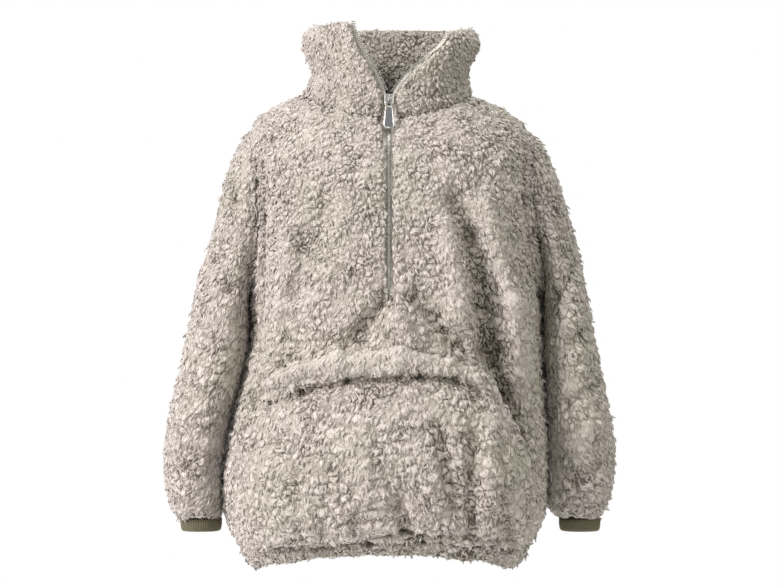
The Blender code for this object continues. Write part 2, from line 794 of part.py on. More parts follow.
def pull_tab():
    """The hanging pull: a flat plate, wider at its foot, with a slot round the bridge."""
    plate = bpy.data.curves.new("pull_tab", "CURVE")
    plate.dimensions = "2D"
    plate.fill_mode = "BOTH"
    plate.extrude = TAB_THICK / 2 * MM
    right = [
        (TAB_TOP_HALF - TAB_TOP_CORNER, TAB_ABOVE),
        (TAB_TOP_HALF, TAB_ABOVE - TAB_TOP_CORNER),
        (TAB_TOP_HALF, TAB_SHOULDER),
    ]
    right += [(TAB_FOOT_HALF - inward, -TAB_LENGTH + up) for inward, up in TAB_FOOT_CORNERS]
    outline = right + [(-x, y) for x, y in reversed(right)]
    slot = (
        (-TAB_SLOT_HALF, TAB_SLOT_TOP), (-TAB_SLOT_HALF, TAB_SLOT_FOOT),
        (TAB_SLOT_HALF, TAB_SLOT_FOOT), (TAB_SLOT_HALF, TAB_SLOT_TOP),
    )
    for points in (outline, slot):
        line = plate.splines.new("POLY")
        line.points.add(len(points) - 1)
        line.use_cyclic_u = True
        for point, (x, y) in zip(line.points, points):
            point.co = (x * MM, y * MM, 0, 1)
    curve = bpy.data.objects.new("pull_curve", plate)
    cutters.objects.link(curve)
    made = mesh_from_curve(curve, "pull_tab")
    made.data.materials.clear()
    made.data.materials.append(finish("nickel_plate"))
    garment.objects.link(made)
    made.location = pivot() * MM
    made.rotation_euler = (math.radians(90 - TAB_LEAN), 0, 0)


def zip_stop():
    """The metal clamp that ends the closed teeth."""
    seat = zip_place(SLIT_ROW - 0.3, 1, TAPE_GAP_HALF, FLEECE)
    block(
        "zip_stop",
        (-STOP_HALF, seat[1] - TEETH - STOP_RISE, seat[2] - STOP_BELOW),
        (STOP_HALF, seat[1] - STOP_CLEAR, seat[2]),
        STOP_BEVEL,
    ).data.materials.append(finish("nickel_plate"))


def main():
    clear_scene()
    front = panel("front", True)
    back = panel("back", False)
    for side, hand in ((-1, "left"), (1, "right")):
        loops = [armhole_loop(front[skin], back[skin], side) for skin in (0, 1)]
        sleeve("sleeve_" + hand, loops, side)
        cuff("cuff_" + hand, side)
    hem_band()
    collar("collar_outer", 0, FLEECE, 1, 0)
    inside = FLEECE + TAPE + 2 * SEAM
    collar("collar_inner", inside, inside + FLEECE, 0, 1)
    pocket()
    zip_pieces()
    zip_slider()
    pull_tab()
    zip_stop()


main()
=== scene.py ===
# %% [markdown]
# # A half-zip fleece pullover
# This notebook dresses a plain, exact model of a fluffy fleece top. The plain model
# gives every cut piece its place and size. Each cell makes one real thing: a pile,
# a seam, a row of zip teeth. Sizes are in metres unless a name ends in _mm.

# %% Load the plain model
import json
import math

import bmesh
import bpy
import numpy as np
from mathutils import Matrix, Vector

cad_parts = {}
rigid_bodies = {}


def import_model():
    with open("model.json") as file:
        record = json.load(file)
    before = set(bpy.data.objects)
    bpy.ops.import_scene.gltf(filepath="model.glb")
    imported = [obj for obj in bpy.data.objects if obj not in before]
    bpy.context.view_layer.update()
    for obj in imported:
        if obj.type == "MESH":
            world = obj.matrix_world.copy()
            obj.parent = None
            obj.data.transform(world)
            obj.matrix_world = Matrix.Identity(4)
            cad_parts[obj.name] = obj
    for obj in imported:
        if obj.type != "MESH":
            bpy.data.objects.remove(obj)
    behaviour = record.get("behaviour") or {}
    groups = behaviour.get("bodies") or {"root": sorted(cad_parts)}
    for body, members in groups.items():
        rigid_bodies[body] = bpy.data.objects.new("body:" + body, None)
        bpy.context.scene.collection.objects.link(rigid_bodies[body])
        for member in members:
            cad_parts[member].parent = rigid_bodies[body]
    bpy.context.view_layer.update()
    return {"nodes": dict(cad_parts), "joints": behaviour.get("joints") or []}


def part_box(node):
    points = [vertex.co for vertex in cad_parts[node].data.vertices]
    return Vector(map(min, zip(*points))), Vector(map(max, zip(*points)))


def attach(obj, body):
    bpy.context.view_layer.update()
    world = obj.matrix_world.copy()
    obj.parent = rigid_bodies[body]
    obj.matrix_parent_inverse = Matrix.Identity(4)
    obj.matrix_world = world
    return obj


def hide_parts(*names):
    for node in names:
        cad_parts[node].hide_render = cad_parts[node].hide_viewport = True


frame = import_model()
MM = 0.001
print("nodes:", sorted(frame["nodes"]))

# %% [markdown]
# ## Colours and nodes
# Colours are picked as sRGB hex values, as a paint program shows them, and shaders
# want linear light. One function does that, and one more adds any node with its
# settings and its links, for shader trees and geometry trees alike. An input is a
# value, a socket, or a node for its first socket. A range node takes its value, the two
# ends it maps from and the two it maps to, in this order.

# %% Two small helpers
MATH, VECTOR_MATH, MAP_RANGE = "ShaderNodeMath", "ShaderNodeVectorMath", "ShaderNodeMapRange"
NOISE, VORONOI, WAVE = "ShaderNodeTexNoise", "ShaderNodeTexVoronoi", "ShaderNodeTexWave"
MIX, RAMP, BUMP = "ShaderNodeMix", "ShaderNodeValToRGB", "ShaderNodeBump"
STORE, ATTRIBUTE = "GeometryNodeStoreNamedAttribute", "ShaderNodeAttribute"
SHADER, SHADER_END = "ShaderNodeBsdfPrincipled", "ShaderNodeOutputMaterial"


def linear(hex_colour):
    """An sRGB hex colour as linear RGBA."""
    parts = [int(hex_colour[k : k + 2], 16) / 255 for k in (1, 3, 5)]
    return (*[c / 12.92 if c < 0.04045 else ((c + 0.055) / 1.055) ** 2.4 for c in parts], 1)


def add(tree, kind, inputs=(), operation=None, **settings):
    """A node, its settings by name, and its inputs by name or in their order."""
    node = tree.nodes.new(kind)
    if operation:
        node.operation = operation
    for name, value in settings.items():
        setattr(node, name, value)
    for name, value in inputs.items() if isinstance(inputs, dict) else enumerate(inputs):
        if isinstance(value, bpy.types.Node):
            value = value.outputs[0]
        if isinstance(value, bpy.types.NodeSocket):
            tree.links.new(value, node.inputs[name])
        else:
            node.inputs[name].default_value = value
    return node


print("linear white:", linear("#ffffff"))

# %% [markdown]
# ## Skins of a cloth wall
# Each plain cloth piece is a closed wall with an outer skin, an inner skin and a rim.
# Walking from face to face without crossing a sharp edge finds the two skins: they
# are the two largest smooth patches. Joining the triangles back to quads first lets
# Blender's subdivision round them well.

# %% Find the skins of a wall
SHARP, WELD_MM = math.radians(50), 0.002


def wall_mesh(node):
    """The plain wall, welded, with its triangles joined to quads."""
    mesh = bmesh.new()
    mesh.from_mesh(frame["nodes"][node].data)
    bmesh.ops.remove_doubles(mesh, verts=mesh.verts, dist=WELD_MM * MM)
    bmesh.ops.join_triangles(
        mesh, faces=mesh.faces, angle_face_threshold=math.pi, angle_shape_threshold=math.pi
    )
    return mesh


def smooth_patches(mesh):
    """Groups of faces joined by soft edges, largest area first."""
    waiting, patches = set(mesh.faces), []
    while waiting:
        patch = [waiting.pop()]
        for face in patch:
            for edge in face.edges:
                if len(edge.link_faces) == 2 and edge.calc_face_angle() < SHARP:
                    for other in edge.link_faces:
                        if other in waiting:
                            waiting.discard(other)
                            patch.append(other)
        patches.append(patch)
    return sorted(patches, key=lambda faces: -sum(f.calc_area() for f in faces))


def outwardness(faces, core):
    """How far a patch faces away from the piece's hollow."""
    return sum(
        face.normal.dot(face.calc_center_median() - core(face.calc_center_median())) * face.calc_area()
        for face in faces
    )


def in_scene(name, data):
    """A new object in the scene from its mesh, curve, lamp or camera."""
    made = bpy.data.objects.new(name, data)
    bpy.context.scene.collection.objects.link(made)
    return made


def new_object(name, mesh):
    """A bmesh as an object in the scene, smooth shaded."""
    data = bpy.data.meshes.new(name)
    mesh.to_mesh(data)
    mesh.free()
    data.shade_smooth()
    return in_scene(name, data)


def skin(node, core, outside, levels, name):
    """One skin of a wall as an open sheet, rounded by subdivision."""
    mesh = wall_mesh(node)
    patches = smooth_patches(mesh)[:2]
    patches.sort(key=lambda faces: outwardness(faces, core), reverse=outside)
    keep = set(patches[0])
    bmesh.ops.delete(mesh, geom=[f for f in mesh.faces if f not in keep], context="FACES")
    made = new_object(name, mesh)
    rounding = made.modifiers.new("rounding", "SUBSURF")
    rounding.levels = levels
    return settle(made)


def settle(thing):
    """Turns what the modifiers show into the object's own mesh."""
    ready = thing.evaluated_get(bpy.context.evaluated_depsgraph_get())
    data = bpy.data.meshes.new_from_object(ready)
    thing.modifiers.clear()
    thing.data = data
    return thing


def torso_core(point):
    """The middle line of the torso."""
    return Vector((0, 0, point.z))


def sleeve_core(side):
    """The middle line of one sleeve, from the shoulder to the cuff."""
    heights = (-0.50, -0.42, -0.30, -0.20, -0.06)
    across = (0.229, 0.234, 0.208, 0.192, 0.160)
    return lambda point: Vector((side * float(np.interp(point.z, heights, across)), 0, point.z))


print("sleeve middle at z = -0.3:", sleeve_core(1)(Vector((0, 0, -0.3))))

# %% [markdown]
# ## One curl of pile
# Sherpa fleece is a knit whose long yarn ends are brushed and tumbled until they
# curl into small locks. A lock could be a hair strand, but strands cost far too much
# for a whole garment. A short, bent, tapering tuft of a few faces reads the same from
# a step away, and four different bends keep them from looking stamped.

# %% Four bent tufts
TUFT_STEPS = ("along", "rise", "width", "thick")
TUFT_PROFILE = (
    (-0.42, -0.20, 0.00, 0.00),
    (-0.10, -0.01, 0.55, 0.20),
    (0.40, 0.01, 0.50, 0.18),
    (0.72, -0.14, 0.00, 0.00),
)
# A value on each corner for the colour: darkest at the root, painted shade where the tuft meets the coat
TUFT_ROOT_SHADE = (0.45, *[0.75] * 3, *[1.0] * 3, 0.8)
TUFT_BENDS = ((0.06, -0.06, 0.02), (-0.10, 0.08, 0.06), (0.02, 0.16, 0.22), (-0.04, -0.18, -0.22))


def tuft(number, bends):
    """A closed spindle that lies along +Y and bulges towards +Z, one unit long."""
    mesh = bmesh.new()
    steps = [dict(zip(TUFT_STEPS, step)) for step in TUFT_PROFILE]
    corners = ((-0.5, -0.3), (0.5, -0.3), (0.0, 1.0))
    root = mesh.verts.new((0, steps[0]["along"], steps[0]["rise"]))
    rings = []
    for at, sideways in zip(steps[1:3], bends):
        rings.append([
            mesh.verts.new((sideways + x * at["width"], at["along"], at["rise"] + z * at["thick"]))
            for x, z in corners
        ])
    tip = mesh.verts.new((bends[2], steps[3]["along"], steps[3]["rise"]))
    for k in range(3):
        after = (k + 1) % 3
        mesh.faces.new((root, rings[0][after], rings[0][k]))
        mesh.faces.new((rings[0][k], rings[0][after], rings[1][after], rings[1][k]))
        mesh.faces.new((rings[1][k], rings[1][after], tip))
    bmesh.ops.recalc_face_normals(mesh, faces=mesh.faces)
    made = new_object(f"tuft_{number}", mesh)
    # The stored values paint shade at the tuft's root
    pile = made.data.attributes.new("pile", "FLOAT", "POINT")
    pile.data.foreach_set("value", TUFT_ROOT_SHADE)
    return made


tufts = bpy.data.collections.new("tufts")
bpy.context.scene.collection.children.link(tufts)
for number, bends in enumerate(TUFT_BENDS):
    made = tuft(number, bends)
    bpy.context.scene.collection.objects.unlink(made)
    tufts.objects.link(made)

# %% [markdown]
# ## The comb of the pile
# The pile is a thick, lumpy coat. It could be hair or a texture, but the outline and
# the shadows between the lumps are what make fleece look deep, so it is geometry. Its
# lumps follow the comb, which runs down and fans out towards the hem. Worn fleece also
# lies closed in patches and on ridges, and noise decides where.

# %% The fan of the comb, and where the pile parts
COMB_DOWN, COMB_ASIDE = (0.0, 0.0, -1.0), (2.4, 0.0, 0.0)
# Above this height the curls are rounder, as on the chest in the picture
ROUND_ABOVE_MM, ROUNDER = -200.0, 0.8
PATCHES_PER_M = 38.0


def fan_out(tree, place):
    """Places with the comb's fan straightened, so that a stretched pattern follows it."""
    x, y, z = add(tree, "ShaderNodeSeparateXYZ", (place,)).outputs
    drop = add(tree, MATH, (z, COMB_ASIDE[0]), "MULTIPLY")
    spread = add(tree, MATH, (drop,), "EXPONENT")
    across = add(tree, MATH, (x, spread), "MULTIPLY")
    above = add(tree, MATH, (z, -ROUND_ABOVE_MM * MM), "ADD")
    over = add(tree, MATH, (above, 0.0), "MAXIMUM")
    tall = add(tree, MATH, (over, ROUNDER, z), "MULTIPLY_ADD")
    return add(tree, "ShaderNodeCombineXYZ", (across, y, tall))


def parting(tree, place, crease):
    """Where the pile parts deeply, and where it lies closed: on ridges and in patches."""
    patches = add(tree, NOISE, {"Vector": place, "Scale": PATCHES_PER_M, "Detail": 2.0})
    open_pile = add(tree, MAP_RANGE, (patches, 0.36, 0.64, 0.55, 0.95))
    on_ridge = add(tree, MAP_RANGE, (crease, 0.1, 1.0, 1.0, 0.5))
    return add(tree, MATH, (open_pile, on_ridge), "MULTIPLY")


print("curls are rounder above", ROUND_ABOVE_MM, "mm")

# %% [markdown]
# ## The outer side of a wall
# Pile stands on the outer side only, so the inner side of the evenly remeshed wall is
# cut away. Picking faces by their normals would leave ragged seams. So Geometry Nodes
# measure how far each point is from the outer skin, and drop what lies deeper.

# %% Peel the inner side off


def geometry_tree(name):
    """An empty geometry tree with one way in and one way out."""
    tree = bpy.data.node_groups.new(name, "GeometryNodeTree")
    for way in ("INPUT", "OUTPUT"):
        tree.interface.new_socket("Geometry", in_out=way, socket_type="NodeSocketGeometry")
    return tree, add(tree, "NodeGroupInput")


def peel_nodes(name, skin_object, cut_depth):
    """A geometry tree that keeps only what lies near the outer skin."""
    tree, start = geometry_tree(name)
    skin_shape = add(tree, "GeometryNodeObjectInfo", {"Object": skin_object})
    near = add(tree, "GeometryNodeProximity", (skin_shape.outputs["Geometry"],))
    deeper = {"A": near.outputs["Distance"], "B": cut_depth * MM}
    hidden = add(tree, "FunctionNodeCompare", deeper, "GREATER_THAN")
    coat = add(tree, "GeometryNodeDeleteGeometry", {0: start, "Selection": hidden})
    add(tree, "NodeGroupOutput", (coat,))
    return tree


print("peeling by the distance to the outer skin")

# %% [markdown]
# ## Nubs
# The coat is pushed out into rounded nubs, the cells of a Voronoi pattern that noise
# has bent. Plain noise makes hills without the sharp grooves that part real curls. Each
# nub leans along the comb, and the coat keeps its depth, its place in the pattern and
# its comb, so that the tufts and the colour can follow them.

# %% Push the coat into nubs
BENDS_PER_M, SWELLS_PER_M = 75.0, 28.0
BEND_M, SWAY = (0.016, 0.016, 0.006), (3.2, 3.2, 1.2)
GROOVE_SHARE, DOME_SHARE, CLOSED_PILE = 0.65, 0.35, 0.8
SWELL, SINK, LEAN = 0.9, 0.95, 0.55


def nub_nodes(tree, start, look):
    """Moves a coat into nubs, and stores what the tufts and the colour read."""
    per_metre = 1000 / look["nub_mm"]
    place = add(tree, "GeometryNodeInputPosition")
    normal = add(tree, "GeometryNodeInputNormal")
    crease = add(tree, "GeometryNodeInputNamedAttribute", {"Name": "crease"})
    bent = add(tree, NOISE, {"Vector": place, "Scale": BENDS_PER_M, "Detail": 1.0, "Roughness": 0.5})
    bend = add(tree, VECTOR_MATH, (bent.outputs["Color"], (0.5, 0.5, 0.5)), "SUBTRACT")
    fan = fan_out(tree, place.outputs[0])
    warp = add(tree, VECTOR_MATH, (bend, BEND_M, fan), "MULTIPLY_ADD")
    drawn = add(tree, VECTOR_MATH, (warp, (1.0, 1.0, look["stretch"])), "MULTIPLY")
    nubs = add(tree, VORONOI, {"Vector": drawn, "Scale": per_metre})
    edges = add(tree, VORONOI, {"Vector": drawn, "Scale": per_metre}, feature="DISTANCE_TO_EDGE")
    dome = add(tree, MAP_RANGE, (nubs, 0.75, 0.1), interpolation_type="SMOOTHSTEP")
    groove = add(tree, MAP_RANGE, (edges, 0.02, 0.30), interpolation_type="SMOOTHSTEP")
    swell = add(tree, NOISE, {"Vector": place, "Scale": SWELLS_PER_M, "Detail": 2.0, "Roughness": 0.6})
    height = add(tree, MATH, (groove, GROOVE_SHARE), "MULTIPLY")
    raised = add(tree, MATH, (dome, DOME_SHARE, height), "MULTIPLY_ADD")
    parted = parting(tree, place.outputs[0], crease.outputs[0])
    domed = add(tree, MIX, {0: parted, 2: CLOSED_PILE, 3: raised})
    swollen = add(tree, MATH, (swell, SWELL, domed), "MULTIPLY_ADD")
    inputs = (swollen, look["deep_mm"] * MM, -look["deep_mm"] * SINK * MM)
    lifted = add(tree, MATH, inputs, "MULTIPLY_ADD")
    outward = add(tree, VECTOR_MATH, {0: normal, "Scale": lifted}, "SCALE")
    lean = add(tree, MATH, (domed, look["deep_mm"] * LEAN * MM), "MULTIPLY")
    against = add(tree, VECTOR_MATH, (normal, COMB_DOWN), "DOT_PRODUCT")
    along_normal = {0: normal, "Scale": against.outputs["Value"]}
    off_normal = add(tree, VECTOR_MATH, along_normal, "SCALE")
    fanned = add(tree, VECTOR_MATH, (place, COMB_ASIDE, COMB_DOWN), "MULTIPLY_ADD")
    sway = add(tree, VECTOR_MATH, (bend, SWAY, fanned), "MULTIPLY_ADD")
    combed = add(tree, VECTOR_MATH, (sway, off_normal), "SUBTRACT")
    flow = add(tree, VECTOR_MATH, (combed,), "NORMALIZE")
    pull = add(tree, VECTOR_MATH, {0: flow, "Scale": lean}, "SCALE")
    offset = add(tree, VECTOR_MATH, (outward, pull), "ADD")
    counted = add(tree, VECTOR_MATH, {0: drawn, "Scale": per_metre}, "SCALE")
    kept = (("nub", counted, "FLOAT_VECTOR"), ("pile", domed, "FLOAT"), ("comb", flow, "FLOAT_VECTOR"))
    coat = start
    for name, value, kind in kept:
        inputs = {"Geometry": coat, "Name": name, "Value": value}
        coat = add(tree, STORE, inputs, data_type=kind)
    return add(tree, "GeometryNodeSetPosition", {"Geometry": coat, "Offset": offset})


print("nubs lean by", LEAN, "of their depth")

# %% [markdown]
# ## Tufts on the nubs
# Nubs alone look like clay. The loose ends of the curls stand on them as tufts, a few
# millimetres apart, laid along the comb and turned and sized by chance. They could be
# instances, but the shared model needs plain meshes, so they become real. They are
# planted as instances and then made real.

# %% Plant the tufts
SPOTS_PER_SPACING = 3e6
TWIST_LEAST, TWIST_MOST = (-0.22, -0.3), (0.08, 0.3)
SIZE_LEAST, SIZE_MOST = (0.75, 0.7, 0.5), (1.25, 1.3, 0.9)


def tuft_nodes(tree, coat, look):
    """Tufts on a coat, laid along its comb and turned a little by chance."""
    seed, curl = look["seed"], look["curl"]
    spots = add(
        tree, "GeometryNodeDistributePointsOnFaces",
        {
            "Mesh": coat, "Distance Min": look["apart_mm"] * MM,
            "Density Max": SPOTS_PER_SPACING / look["apart_mm"] ** 2, "Seed": seed,
        },
        distribute_method="POISSON",
    )
    comb = add(tree, "GeometryNodeInputNamedAttribute", {"Name": "comb"}, data_type="FLOAT_VECTOR")
    upright = add(tree, "FunctionNodeAlignRotationToVector", {"Vector": spots.outputs["Normal"]}, axis="Z")
    laid = add(
        tree, "FunctionNodeAlignRotationToVector", {"Rotation": upright, "Vector": comb},
        axis="Y", pivot_axis="Z",
    )
    inputs = {"Min": (*TWIST_LEAST, -curl), "Max": (*TWIST_MOST, curl), "Seed": seed + 1}
    twist = add(tree, "FunctionNodeRandomValue", inputs, data_type="FLOAT_VECTOR")
    by_chance = {"Rotation": laid, "Rotate By": twist}
    turned = add(tree, "FunctionNodeRotateRotation", by_chance, rotation_space="LOCAL")
    slim = (look["slim"], 1.0, 1.0)
    least, most = (
        [look["tuft_mm"] * MM * (share * thin) for share, thin in zip(shares, slim)]
        for shares in (SIZE_LEAST, SIZE_MOST)
    )
    inputs = {"Min": least, "Max": most, "Seed": seed + 2}
    size = add(tree, "FunctionNodeRandomValue", inputs, data_type="FLOAT_VECTOR")
    choices = add(
        tree, "GeometryNodeCollectionInfo",
        {"Collection": tufts, "Separate Children": True, "Reset Children": True},
    )
    tone = add(tree, "FunctionNodeRandomValue", {"Seed": seed + 3})
    inputs = {"Geometry": spots, "Name": "tone", "Value": tone.outputs[1]}
    toned = add(tree, STORE, inputs)
    planted = add(
        tree, "GeometryNodeInstanceOnPoints",
        {"Points": toned, "Instance": choices, "Pick Instance": True, "Rotation": turned, "Scale": size},
    )
    return add(tree, "GeometryNodeRealizeInstances", {"Geometry": planted})


def wool_nodes(name, look):
    """A geometry tree that turns a smooth coat into curly pile."""
    tree, start = geometry_tree(name)
    coat = nub_nodes(tree, start, look)
    locks = tuft_nodes(tree, coat, look)
    inputs = {"Geometry": coat, "Name": "coat", "Value": 1.0}
    marked = add(tree, STORE, inputs)
    both = add(tree, "GeometryNodeJoinGeometry")
    for part in (marked, locks):
        tree.links.new(part.outputs[0], both.inputs[0])
    smooth = add(tree, "GeometryNodeSetShadeSmooth", {"Geometry": both, "Shade Smooth": True})
    add(tree, "NodeGroupOutput", (smooth,))
    return tree


print("tufts are planted along the comb")

# %% [markdown]
# ## Walls that lap their seams
# At a sewn seam the pile of both pieces hides the stitches. Scaling a panel would move
# all of it, so only its cut edges reach out a little: more at the neck and above the
# cuffs, and not beside the zip's pull. Then the wall is rounded and remeshed evenly.

# %% Even walls with lapped edges
SEAM_OVERLAP_MM = 2.2
NECK_SEAM_MM, NECK_OVERLAP_MM = -32.0, 7.5
SLIT_HALF_MM, SLIT_OVERLAP_MM, SLIT_CLEAR_MM = 13.0, 4.6, -46.0
COLLAR_FROM_MM, COLLAR_FRONT_MM, COLLAR_EDGE_OVERLAP_MM = 20.0, -20.0, 1.2
# The sleeve's pile hangs over its cuff, the most on the outer side of the arm
CUFF_OUTSIDE_MM, CUFF_BELOW_MM = 180.0, -480.0
CUFF_MIDDLE_MM, CUFF_HALF_MM = 231.0, 20.0
CUFF_OVERLAP_MM, CUFF_LEAST_MM = 2.7, 2.2


def edge_reach(place):
    """How many millimetres a cut edge reaches out over its seam."""
    reach = SEAM_OVERLAP_MM
    if NECK_SEAM_MM * MM < place.z < COLLAR_FROM_MM * MM:
        reach = NECK_OVERLAP_MM
    if abs(place.x) < SLIT_HALF_MM * MM and place.y < 0:
        reach = SLIT_OVERLAP_MM if place.z < SLIT_CLEAR_MM * MM else 0.0
    if place.z > COLLAR_FROM_MM * MM and place.y < COLLAR_FRONT_MM * MM:
        reach = COLLAR_EDGE_OVERLAP_MM
    aside = abs(place.x) / MM
    if aside > CUFF_OUTSIDE_MM and place.z < CUFF_BELOW_MM * MM:
        outer = min((aside - CUFF_MIDDLE_MM) / CUFF_HALF_MM, 1)
        reach = max(CUFF_OVERLAP_MM * (1 + outer), CUFF_LEAST_MM)
    return reach


def lap_seams(mesh):
    """Lets the cut edges reach a little over their seams."""
    rims = [face for patch in smooth_patches(mesh)[2:] for face in patch]
    moves = {}
    for face in rims:
        for corner in face.verts:
            moves.setdefault(corner, Vector()).__iadd__(face.normal * face.calc_area())
    for corner, way in moves.items():
        if way.length:
            corner.co += way.normalized() * edge_reach(corner.co) * MM


def even_wall(node, spacing_mm, rounding_levels):
    """The closed wall rounded and remeshed to even squares."""
    mesh = wall_mesh(node)
    lap_seams(mesh)
    made = new_object("pile_" + node, mesh)
    rounding = made.modifiers.new("rounding", "SUBSURF")
    rounding.levels = rounding_levels
    settle(made)
    evened = made.modifiers.new("even", "REMESH")
    evened.mode = "VOXEL"
    evened.voxel_size = spacing_mm * MM
    return settle(made)


def triangles(thing):
    """How many triangles a piece has."""
    thing.data.calc_loop_triangles()
    return len(thing.data.loop_triangles)


print("seams lap by", SEAM_OVERLAP_MM, "mm")

# %% [markdown]
# ## What the materials share
# Each material starts from an empty tree. All but the pile end the same way: a tone
# between two colours, a bump, and how the surface feels. So one function ends them.

# %% Begin and end a material


def fresh_material(name):
    """An empty material, its tree and a place on the piece in metres."""
    made = bpy.data.materials.new(name)
    made.use_nodes = True
    tree = made.node_tree
    tree.nodes.clear()
    return made, tree, add(tree, "ShaderNodeTexCoord").outputs["Object"]


def finish_material(tree, tone, colours, feel, bump=()):
    """Ends a material. A bump is a height, a strength and a distance in metres."""
    tint = add(tree, RAMP, {"Fac": tone})
    for stop, colour in zip(tint.color_ramp.elements, colours):
        stop.color = linear(colour)
    if bump:
        feel = {**feel, "Normal": add(tree, BUMP, dict(zip(("Height", "Strength", "Distance"), bump)))}
    add(tree, SHADER_END, {"Surface": add(tree, SHADER, {"Base Color": tint, **feel})})


def paint(piece, material):
    """Gives a piece one material and no other."""
    piece.data.materials.clear()
    piece.data.materials.append(material)


print("materials before the pile's:", len(bpy.data.materials))

# %% [markdown]
# ## Fleece, the material
# The fleece is polyester yarn, dyed a warm grey. Fibres scatter light softly, so it has
# a high roughness and a sheen. Shade is painted into the colour: the grooves between the
# nubs and the strands and the roots of the tufts are painted darker and a little greener
# than the tips, as painted shade. The colour follows the depth stored on each point and
# the place in the nub pattern, broken up by slow stains of noise, and a fine bump gives
# the strands that are too thin to model.

# %% Sherpa fleece
# The darkest stop is painted shade for the grooves and roots, the others the pile's own tone
PILE_TONE_AND_SHADE_STOPS = ((0.0, "#5e584e"), (0.35, "#b0aaa2"), (0.95, "#dad5d0"))
DYE_STOPS = ((0.38, "#fffcfc"), (0.62, "#fafaf4"))
STRAND_MM, FIBRE_MM = 2.6, 1.0
CLOUDS_PER_M, DYES_PER_M = 22.0, 11.0
# Painted shade in folds, an even offset, and a painted highlight on ridges
FOLD_PAINTED_SHADE, FLAT_TONE, RIDGE_PAINTED_HIGHLIGHT = 0.27, -0.07, 0.15


def stops_of(ramp, stops):
    """Sets a ramp's places and colours."""
    while len(ramp.color_ramp.elements) < len(stops):
        ramp.color_ramp.elements.new(0.5)
    for element, (place, colour) in zip(ramp.color_ramp.elements, stops):
        element.position, element.color = place, linear(colour)
    return ramp


def sherpa_fleece():
    """Curled polyester pile: matt, with a soft bright edge, painted shade in its grooves, at the tufts'
    roots and in folds, and a painted highlight on ridges.
    """
    made, tree, place = fresh_material("sherpa_fleece")
    depth, coat, nub, creases = (
        add(tree, ATTRIBUTE, attribute_name=name) for name in ("pile", "coat", "nub", "crease")
    )
    crease = creases.outputs["Fac"]
    edges = add(
        tree, VORONOI, {"Vector": nub.outputs["Vector"], "Scale": 1.0}, feature="DISTANCE_TO_EDGE",
    )
    # Painted shade: dark lines along the grooves between the nubs
    groove_shade = add(tree, MAP_RANGE, (edges, 0.0, 0.20), interpolation_type="SMOOTHSTEP")
    # On the tufts the stored value paints shade at the root
    nubs = add(tree, MIX, {0: coat.outputs["Fac"], 2: depth.outputs["Fac"], 3: groove_shade})
    parted = parting(tree, place, crease)
    combed = add(tree, "ShaderNodeMapping", {"Vector": fan_out(tree, place), "Scale": (1.0, 1.0, 0.3)})
    strands, fibres = (
        add(tree, NOISE, {"Vector": combed, "Scale": 1000 / size, "Detail": 2.0, "Distortion": bent})
        for size, bent in ((STRAND_MM, 1.0), (FIBRE_MM, 0.6))
    )
    # Painted shade in the gaps between the strands
    between = add(tree, MAP_RANGE, (strands, 0.34, 0.56, 0.2, 1.0))
    locks = add(tree, MATH, (nubs, between), "MULTIPLY")
    pattern = add(tree, MIX, {0: parted, 2: 0.75, 3: locks})
    cloudy = add(tree, NOISE, {"Vector": place, "Scale": CLOUDS_PER_M, "Detail": 3.0})
    # Painted shade in the folds and a painted highlight on the ridges, from the crease
    ridge_highlight = add(tree, MATH, (crease, RIDGE_PAINTED_HIGHLIGHT), "MULTIPLY")
    painted_crease_light = add(tree, MATH, (crease, ridge_highlight), "MINIMUM")
    folded = add(tree, MATH, (painted_crease_light, FOLD_PAINTED_SHADE, FLAT_TONE), "MULTIPLY_ADD")
    mottled_and_crease_light = add(tree, MATH, (cloudy, 0.16, folded), "MULTIPLY_ADD")
    level = add(tree, MATH, (pattern, mottled_and_crease_light), "ADD")
    tone = stops_of(add(tree, RAMP, {"Fac": level}), PILE_TONE_AND_SHADE_STOPS)
    dye = add(tree, NOISE, {"Vector": place, "Scale": DYES_PER_M, "Detail": 2.0})
    tint = stops_of(add(tree, RAMP, {"Fac": dye}), DYE_STOPS)
    dyed = add(tree, MIX, {0: 1.0, 6: tone, 7: tint}, data_type="RGBA", blend_type="MULTIPLY")
    rounded = add(tree, MATH, (pattern, 1.5, strands), "MULTIPLY_ADD")
    hairy = add(tree, MATH, (fibres, 0.35, rounded), "MULTIPLY_ADD")
    bump = add(tree, BUMP, {"Height": hairy, "Strength": 0.55, "Distance": 0.0014})
    shader = add(
        tree, SHADER,
        {
            "Base Color": dyed.outputs[2], "Roughness": 0.95, "IOR": 1.5, "Normal": bump,
            "Specular IOR Level": 0.25, "Sheen Weight": 0.25, "Sheen Roughness": 0.5,
        },
    )
    add(tree, SHADER_END, {"Surface": shader})
    return made


FLEECE = sherpa_fleece()
print("fleece nodes:", len(FLEECE.node_tree.nodes))

# %% [markdown]
# ## Creases
# A worn top hangs in a few soft folds: one long one below the arm on the right, a roll
# over the pocket, a tent below the zip. A cloth simulation would fold it its own way, and
# a sculpted mesh can't be read in a script. So each crease is a row of numbers: a line in
# millimetres on the front view, how wide it fades, and how far it sinks or rises. Places
# that can't be seen get similar ones. The casing's seam is one line that three pieces share.

